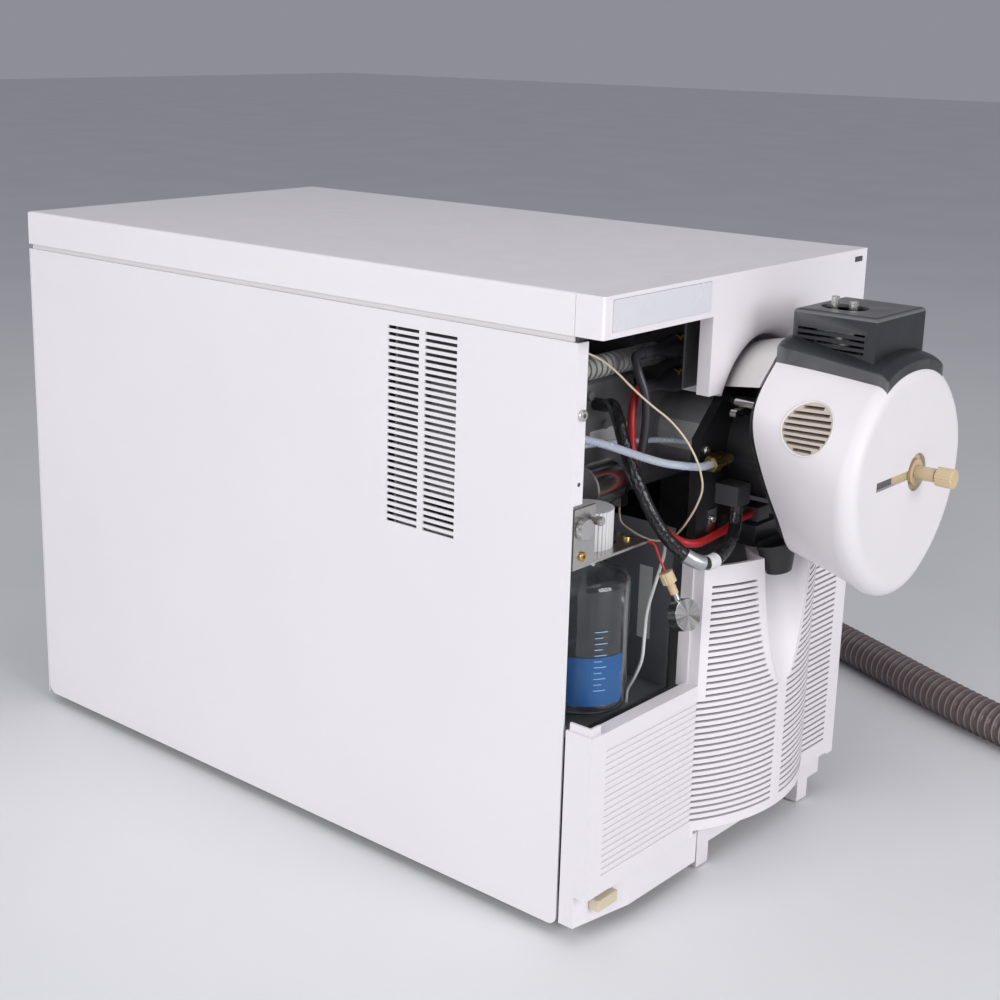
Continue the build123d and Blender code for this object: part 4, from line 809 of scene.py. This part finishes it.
class Route:
    """Smooth line through the part, given by its control points."""

    def __init__(self, controls: list[Point]) -> None:
        """Keeps the control points.

        Args:
            controls: Control points in metres.
        """
        self.controls = controls

    def curve(self, name: str) -> bpy.types.Object:
        """Makes the line as a curve of one open spline.

        Args:
            name: Name of the curve.

        Returns:
            The curve, not linked to the scene.
        """
        data = bpy.data.curves.new(name, "CURVE")
        data.dimensions = "3D"
        data.resolution_u = 24
        spline = data.splines.new("NURBS")
        spline.points.add(len(self.controls) - 1)
        for point, control in zip(spline.points, self.controls):
            point.co = (*control, 1.0)
        spline.order_u = 3
        spline.use_endpoint_u = True
        return bpy.data.objects.new(name, data)

    def samples(self) -> list[Vector]:
        """Reads points along the line.

        Returns:
            Points from one end to the other.
        """
        curve = self.curve("route")
        bpy.context.scene.collection.objects.link(curve)
        bpy.context.view_layer.update()
        mesh = bpy.data.meshes.new_from_object(curve)
        points = [vertex.co.copy() for vertex in mesh.vertices]
        bpy.data.meshes.remove(mesh)
        data = curve.data
        bpy.data.objects.remove(curve)
        bpy.data.curves.remove(data)
        return points

    def line(self, step: float) -> list[tuple[Vector, Vector, Vector]]:
        """Spaces points evenly along the line, each with its own cross directions.

        Args:
            step: Distance between points, in metres.

        Returns:
            For each point, its place, a direction across and the one square to both.
        """
        points = self.samples()
        lengths = [0.0]
        for first, second in zip(points, points[1:]):
            lengths.append(lengths[-1] + (second - first).length)
        count = max(2, round(lengths[-1] / step))
        spots, index = [], 0
        for number in range(count + 1):
            reach = lengths[-1] * number / count
            while index < len(points) - 2 and lengths[index + 1] < reach:
                index += 1
            share = (reach - lengths[index]) / max(1e-9, lengths[index + 1] - lengths[index])
            spots.append(points[index].lerp(points[index + 1], min(1.0, share)))
        line, across = [], None
        for number, spot in enumerate(spots):
            ahead = spots[min(number + 1, count)] - spots[max(number - 1, 0)]
            ahead.normalize()
            if across is None:
                side = Vector((0, 0, 1)) if abs(ahead.z) < 0.9 else Vector((1, 0, 0))
                across = side.cross(ahead).normalized()
            across = (across - ahead * across.dot(ahead)).normalized()
            line.append((spot, across.copy(), ahead.cross(across)))
        return line


# ------------------------------------------------------------------ hose
@dataclass
class Hose:
    """Spiral-reinforced vacuum hose that lies along the right side."""

    maker: Maker
    radius: float = 0.019
    pitch: float = 0.0085
    profile: tuple[float, ...] = (0.0, 0.0003, -0.0012, -0.0017, -0.0017, -0.0012)
    ridge_rings: tuple[int, ...] = (0, 5)
    sides: int = 40
    route: list[Point] = field(
        default_factory=lambda: [
            at(330.0, 706.0, 56.0),
            at(480.0, 706.0, 56.0),
            at(630.0, 636.0, 30.0),
            at(733.0, 512.0, 11.0),
            at(751.0, 356.0, 11.0),
            at(663.0, 140.0, 11.0),
            at(545.0, -118.0, 11.0),
            at(528.0, -260.0, 11.0),
        ]
    )

    def build(self) -> bpy.types.Object:
        """Makes the hose wall with its raised spiral.

        Returns:
            The hose.
        """
        rings_per_turn = len(self.profile)
        step = self.pitch / rings_per_turn
        line = Route(self.route).line(step / 2)
        count = (len(line) - 1) // 2
        points, faces, marks = [], [], []
        for ring in range(-1, count + 1):
            for side in range(self.sides):
                reach = (ring + side / self.sides) * 2
                place = min(max(reach, 0.0), len(line) - 1.001)
                index, share = int(place), place - int(place)
                spot = line[index][0].lerp(line[index + 1][0], share)
                across, up = line[index][1], line[index][2]
                angle = 2 * math.pi * side / self.sides
                radius = self.radius - 0.0003 + self.profile[ring % rings_per_turn]
                points.append(
                    spot + across * (radius * math.cos(angle)) + up * (radius * math.sin(angle))
                )
        rings = count + 2
        for ring in range(rings - 1):
            for side in range(self.sides):
                last = side == self.sides - 1
                following = (side + 1) % self.sides
                a, b = ring * self.sides + side, (ring + 1) * self.sides + side
                c = (ring + (2 if last else 1)) * self.sides + following
                d = (ring + (1 if last else 0)) * self.sides + following
                if max(a, b, c, d) >= rings * self.sides:
                    continue
                faces.append((a, d, c, b))
                marks.append(1 if (ring - 1) % rings_per_turn in self.ridge_rings else 0)
        piece = self.maker.mesh(
            "ribbed_hose", points, faces, "case", ("hose_wall", "hose_wire"), marks, smooth=80.0
        )
        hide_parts("vacuum_hose")
        end = self.maker.node("hose_end", "turned_steel")
        path = [tuple(place[0]) for place in line[:: max(1, len(line) // 300)]]
        path.append(tuple(line[-1][0]))
        return piece


# ------------------------------------------------------------------ case
@dataclass
class Case:
    """Sheet-metal case, its moulded front and the small things on them."""

    maker: Maker
    finishes: dict[str, str] = field(
        default_factory=lambda: {
            "top_cover": "case_coat",
            "left_side_panel": "case_coat",
            "right_side_panel": "case_coat",
            "rear_panel": "case_coat",
            "base_pan": "zinc_sheet",
            "feet": "rubber",
            "bulkhead": "dark_sheet",
            "front_frame": "dark_sheet",
            "power_inlet": "black_plastic",
            "front_upper_bezel": "bezel_plastic",
            "front_lower_bezel": "bezel_plastic",
            "name_plate": "plate_film",
            "status_lamp": "lamp_glass_and_slot_shadow",
            "power_button": "cream_tube",
            "foreline_elbow": "brushed_steel",
            "flange_clamp": "aluminium",
            "gas_ports": "brass",
            "data_sockets": "black_plastic",
        }
    )
    flange_screw: Point = (7.0, 20.5, 394.0)
    flange_hole_shade: Point = (7.0, 20.7, 344.0)
    hole_radius: float = 0.0016
    rear_face: float = 660.0
    screw_columns: tuple[float, ...] = (8.0, 184.0, 360.0)
    screw_rows: tuple[float, ...] = (12.0, 150.0, 300.0, 437.0)
    fan_columns: tuple[float, ...] = (118.0, 250.0)
    fan_row: float = 330.0
    fan_reach: float = 38.0

    def dress(self) -> None:
        """Gives each solid of the case its finish and adds the screws."""
        maker = self.maker
        for name, finish in self.finishes.items():
            maker.node(name, finish)
        heads = [Head(at(*self.flange_screw), AHEAD, 0.0042, 0.0028)]
        maker.fasteners("flange_screw", heads, "case", "turned_steel")
        # painted shade: a thin dark disc stands in for the shaded inside of the flange's hole
        profile = [(self.hole_radius, 0), (self.hole_radius, 0.0003)]
        maker.lathe("flange_hole_shade", at(*self.flange_hole_shade), AHEAD, profile, "case", "black_coat")
        heads = [
            Head(at(column, self.rear_face, row), BEHIND, 0.0036)
            for column in self.screw_columns
            for row in self.screw_rows
        ]
        maker.fasteners("rear_screws", heads, "case", "turned_steel")
        heads = [
            Head(at(fan + side, self.rear_face, self.fan_row + rise), BEHIND, 0.003)
            for fan in self.fan_columns
            for side in (-self.fan_reach, self.fan_reach)
            for rise in (-self.fan_reach, self.fan_reach)
        ]
        maker.fasteners("fan_screws", heads, "case", "black_coat")


@dataclass
class Bays:
    """What stands in the open bay: bottle, fittings, leads and tubes."""

    maker: Maker
    finishes: dict[str, str] = field(
        default_factory=lambda: {
            "bay_liner": "zinc_sheet",
            "bottle_bracket": "brushed_steel",
            "thumb_screw": "turned_steel",
            "calibrant_bottle": "bottle_glass",
            "bottle_lid": "white_plastic",
            "optics_housing": "cast_grey",
            "terminal_block": "black_plastic",
            "manifold": "dull_casting",
            "upper_boot": "grey_jacket",
            "lower_boot": "grey_jacket",
            "air_duct": "duct_plastic",
            "pump_motor": "turned_steel",
            "cable_sockets": "black_plastic",
            "brass_fitting": "brass",
            "inlet_filter": "faced_steel",
            "filter_fitting": "tan_plastic",
            "filter_tube": "red_jacket",
            "wire_loom": "loom_wrap",
            "supply_lead": "red_jacket",
            "signal_lead": "grey_jacket",
            "capillary": "cream_tube",
            "gas_tube": "milky_tube",
            "vent_tube": "milky_tube",
            "drip_tube": "white_plastic",
        }
    )
    loom: list[Point] = field(
        default_factory=lambda: [
            at(97.0, 20.0, 305.0),
            at(101.0, 6.0, 285.0),
            at(108.0, -10.0, 272.0),
            at(123.0, -17.0, 266.0),
            at(143.0, -17.0, 270.0),
            at(162.0, -13.0, 278.0),
        ]
    )
    bottle: Point = (56.0, 48.0, 160.0)
    bottle_radius: float = 0.035
    bottle_field: tuple[float, ...] = (-172, -84, 0.008, 0.046)
    tick_count: int = 11
    tick_start: float = -128.0
    tick_ends: tuple[float, float] = (-112.0, -118.0)
    tick_low: float = 0.020
    tick_pitch: float = 0.0046
    tick_height: float = 0.0006
    tick_lift: float = 0.0003
    optics_tube: Point = (224.0, 84.0, 340.0)
    optics_tube_radius: float = 0.032
    optics_strip: tuple[float, ...] = (158, 200, 0.004, 0.046)
    blank_lift: float = 0.0002
    shelf_heads: tuple = (((13, 20, 290), AHEAD), ((88, 34, 283), ABOVE))
    sleeve_radius: float = 0.0058
    sleeves: tuple = (("grey", (0.40, 0.56), "silver_film"), ("white", (0.60, 0.70), "white_plastic"))
    boot_rises: tuple[float, float] = (414.0, 387.0)
    mark_radius: float = 0.0098
    mark_strips: tuple = (
        (-165, -128, 0.0, 0.0018),
        (-148, -138, 0.0018, 0.0058),
        (-158, -112, 0.0058, 0.0076),
    )
    stop_knob: Point = (24.4, 20.0, 315.2)
    knob_radius: float = 0.0034
    knob_neck: float = 0.0018

    def bottle_print(self) -> None:
        """Adds the plain printed field on the bottle's lower half and its row of ticks."""
        base, radius = at(*self.bottle), self.bottle_radius
        self.maker.band(
            "bottle_label", base, ABOVE, radius, [self.bottle_field], "case", "blue_film"
        )
        ticks = []
        for tick in range(self.tick_count):
            low = self.tick_low + self.tick_pitch * tick
            end = self.tick_ends[tick % 2]
            ticks.append((self.tick_start, end, low, low + self.tick_height))
        self.maker.band(
            "bottle_ticks", base, ABOVE, radius + self.tick_lift, ticks, "case", "pale_print"
        )

    def blank_labels(self) -> None:
        """Adds the bare labels on the optics tube, the manifold and the liner."""
        base, radius = at(*self.optics_tube), self.optics_tube_radius
        self.maker.band(
            "optics_label", base, AHEAD, radius, [self.optics_strip], "case", "blank_label"
        )
        lift = self.blank_lift
        labels = (
            ("manifold_label", (116, 92, 338), (0.052, 0, 0), (0, 0, 0.012), (0, -lift, 0)),
            ("liner_label", (141, 44, 185), (0, 0.012, 0), (0, 0, 0.060), (-lift, 0, 0)),
        )
        for name, corner, across, up, away in labels:
            self.maker.patch(name, at(*corner), across, up, away, "blank_label")

    def lead_marks(self) -> None:
        """Adds the loom's sleeves and the marks on the boots."""
        for colour, span, finish in self.sleeves:
            self.maker.sleeve(f"loom_sleeve_{colour}", self.loom, span, self.sleeve_radius, finish)
        strips = list(self.mark_strips)
        for index, rise in enumerate(self.boot_rises):
            base = at(175.5, 60, rise)
            self.maker.band(
                f"boot_marks_{index}", base, RIGHT, self.mark_radius, strips, "case", "yellow_mark"
            )

    def dress(self) -> None:
        """Gives each solid in the bay its finish and adds its small pieces."""
        for name, finish in self.finishes.items():
            self.maker.node(name, finish)
        self.bottle_print()
        self.blank_labels()
        heads = [Head(at(*place), axis, 0.0035) for place, axis in self.shelf_heads]
        self.maker.fasteners("shelf_screws", heads, "case", "brass")
        self.lead_marks()
        neck, knob = self.knob_neck, self.knob_radius
        self.maker.lathe(
            "stop_knob",
            at(*self.stop_knob),
            AHEAD,
            [(neck, 0), (neck, 0.003), (knob, 0.0032), (knob, 0.0088), (knob - 0.0004, 0.0092)],
            "case",
            "turned_steel",
            flutes=18,
            flute_depth=0.0004,
        )


@dataclass
class Source:
    """Spray source with its mount, hinge and latch."""

    maker: Maker
    finishes: dict[str, str] = field(
        default_factory=lambda: {
            "source_housing": "source_plastic",
            "source_top_cover": "cover_black",
            "source_back_plate": "black_coat",
            "sprayer": "turned_steel",
            "left_adjuster": "turned_steel",
            "right_adjuster": "turned_steel",
            "probe_plate": "tan_plastic",
            "probe": "tan_plastic",
            "keeper_stud": "turned_steel",
            "hinge_leaf": "black_coat",
            "source_shroud": "drum_plastic",
            "source_mount": "black_coat",
            "drain_spout": "black_plastic",
            "hinge_bracket": "black_coat",
            "hinge_pin": "turned_steel",
            "latch_lever": "brushed_steel",
        }
    )

    mount_face: float = 8.0
    mount_places: tuple = ((150.0, 345.0), (150.0, 272.0), (278.0, 272.0))
    boss_start: float = 17.0
    lever_pivot: Point = (184.0, -22.0, 379.0)
    earth_place: Point = (163.5, 7.0, 288.0)
    rim_sides: int = 72
    bead_sides: int = 6
    rim_gap: float = 0.0004
    bead_width: float = 0.0009
    bead_height: float = 0.0007

    def vent_rim(self) -> None:
        """Lays a fine bead round the vent, on the housing's flank."""
        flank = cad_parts["source_housing"]
        outside = Vector((0.2, 0, 0))
        points, faces = [], []
        for side in range(self.rim_sides):
            angle = 2 * math.pi * side / self.rim_sides
            out = Vector((0, math.cos(angle), math.sin(angle)))
            start = Vector(VENT_CENTRE) + out * (VENT_RADIUS + self.rim_gap) - outside
            _, spot, normal, _ = flank.ray_cast(start, Vector(RIGHT))
            for step in range(self.bead_sides):
                turn = 2 * math.pi * step / self.bead_sides
                across = out * (self.bead_width * math.cos(turn))
                points.append(spot + across + normal * (self.bead_height * math.sin(turn)))
        for side in range(self.rim_sides):
            for step in range(self.bead_sides):
                a, b = side * self.bead_sides, (side + 1) % self.rim_sides * self.bead_sides
                after = (step + 1) % self.bead_sides
                faces.append((a + step, b + step, b + after, a + after))
        self.maker.mesh("vent_rim", points, faces, "source", ("drum_plastic",), smooth=80.0)

    def dress(self) -> None:
        """Gives each solid of the source its finish and adds its screws."""
        maker = self.maker
        for name, finish in self.finishes.items():
            maker.node(name, finish)
        maker.behind("source_mount", at(0, self.boss_start, 0)[1], "cast_grey")
        self.vent_rim()
        screws = {
            "mount_screws": [
                Head(at(column, self.mount_face, row), AHEAD, 0.0036)
                for column, row in self.mount_places
            ],
            "lever_screw": [Head(at(*self.lever_pivot), AHEAD, 0.0045, 0.002)],
            "earth_screw": [Head(at(*self.earth_place), AHEAD, 0.003, 0.002)],
        }
        for name, heads in screws.items():
            maker.fasteners(name, heads, "case", "turned_steel")
        # painted shadow: a thin dark patch in the probe plate's slot stands in for the shade in it
        shadow_corner = at(176.5, -119, 333.8)
        across, up, lift = (0.024, 0, 0), (0, 0, 0.0064), (0, -0.0002, 0)
        maker.patch("slot_shadow", shadow_corner, across, up, lift, "lamp_glass_and_slot_shadow", "source")
        tab = at(158, 8, 296)
        across, up, lift = (0.0, 0, -0.018), (0.011, 0, 0), (0, -0.001, 0)
        maker.patch("earth_tab", tab, across, up, lift, "brushed_steel")


# ------------------------------------------------------------------ studio
@dataclass
class Studio:
    """Floor, soft light and camera."""

    camera_place: Point = (-1.07224, -0.92394, 0.66580)
    camera_right: Point = (0.67268, -0.73979, 0.01464)
    camera_up: Point = (0.17847, 0.18142, 0.96707)
    lens: float = 59.03
    shift: tuple[float, float] = (0.08, -0.05)
    floor_reach: float = 14.0
    aim: Point = (0.0, -0.1, 0.25)
    lamps: tuple = (
        ("overhead", (-0.4, -0.5, 2.6), 2.0, 14.0),
        ("left_bank", (-2.6, -0.2, 1.2), 1.8, 50.0),
        ("front_bank", (-0.1, -2.8, 1.1), 1.6, 52.0),
    )
    surround: tuple[float, ...] = (0.82, 0.82, 0.92, 1)
    surround_strength: float = 0.40
    exposure: float = -0.27

    def camera(self) -> bpy.types.Object:
        """Places the camera.

        Returns:
            The scene's camera.
        """
        data = bpy.data.cameras.new("camera")
        data.lens = self.lens
        data.sensor_width = 36.0
        data.sensor_fit = "AUTO"
        data.shift_x, data.shift_y = self.shift
        data.clip_start, data.clip_end = 0.02, 60.0
        camera = bpy.data.objects.new("camera", data)
        bpy.context.scene.collection.objects.link(camera)
        right, up = Vector(self.camera_right).normalized(), Vector(self.camera_up)
        back = right.cross(up).normalized()
        up = back.cross(right)
        turn = Matrix((right, up, back)).transposed().to_4x4()
        camera.matrix_world = Matrix.Translation(self.camera_place) @ turn
        bpy.context.scene.camera = camera
        return camera

    def floor(self) -> bpy.types.Object:
        """Makes the plain pale floor.

        Returns:
            The floor.
        """
        data = bpy.data.meshes.new("floor")
        reach = self.floor_reach
        data.from_pydata(
            [(-reach, -reach, 0), (reach, -reach, 0), (reach, reach, 0), (-reach, reach, 0)],
            [],
            [(0, 1, 2, 3)],
        )
        nodes = Nodes("floor_paint")
        share = nodes.span(nodes.noise(3.0), 0.0, 1.0)
        tone = nodes.mix(share, (0.76, 0.765, 0.78), (0.80, 0.805, 0.82))
        nodes.shade(Base_Color=tone, Roughness=0.55)
        data.materials.append(nodes.material)
        floor = bpy.data.objects.new("floor", data)
        bpy.context.scene.collection.objects.link(floor)
        return floor

    def light(self, name: str, place: Point, size: float, power: float) -> None:
        """Hangs one soft lamp.

        Args:
            name: The lamp's name.
            place: Where it hangs.
            size: Side of its square face.
            power: Watts.
        """
        data = bpy.data.lights.new(name, "AREA")
        data.shape = "SQUARE"
        data.size = size
        data.energy = power
        lamp = bpy.data.objects.new(name, data)
        bpy.context.scene.collection.objects.link(lamp)
        lamp.location = place
        facing = Vector(self.aim) - Vector(place)
        lamp.rotation_euler = facing.to_track_quat("-Z", "Y").to_euler()

    def build(self) -> None:
        """Sets up camera, floor, lamps and surrounding light."""
        self.camera()
        self.floor()
        world = bpy.data.worlds.new("surround")
        world.use_nodes = True
        sky = world.node_tree.nodes["Background"]
        sky.inputs["Color"].default_value = self.surround
        sky.inputs["Strength"].default_value = self.surround_strength
        scene = bpy.context.scene
        scene.world = world
        for lamp in self.lamps:
            self.light(*lamp)
        scene.view_settings.view_transform = "Standard"
        scene.view_settings.exposure = self.exposure


def main() -> None:
    """Builds the studio and dresses the instrument."""
    logging.basicConfig(level=logging.INFO, format="%(message)s")
    maker = Maker(Finishes())
    Studio().build()
    Hose(maker).build()
    Case(maker).dress()
    Bays(maker).dress()
    Source(maker).dress()


if __name__ == "__main__":
    main()
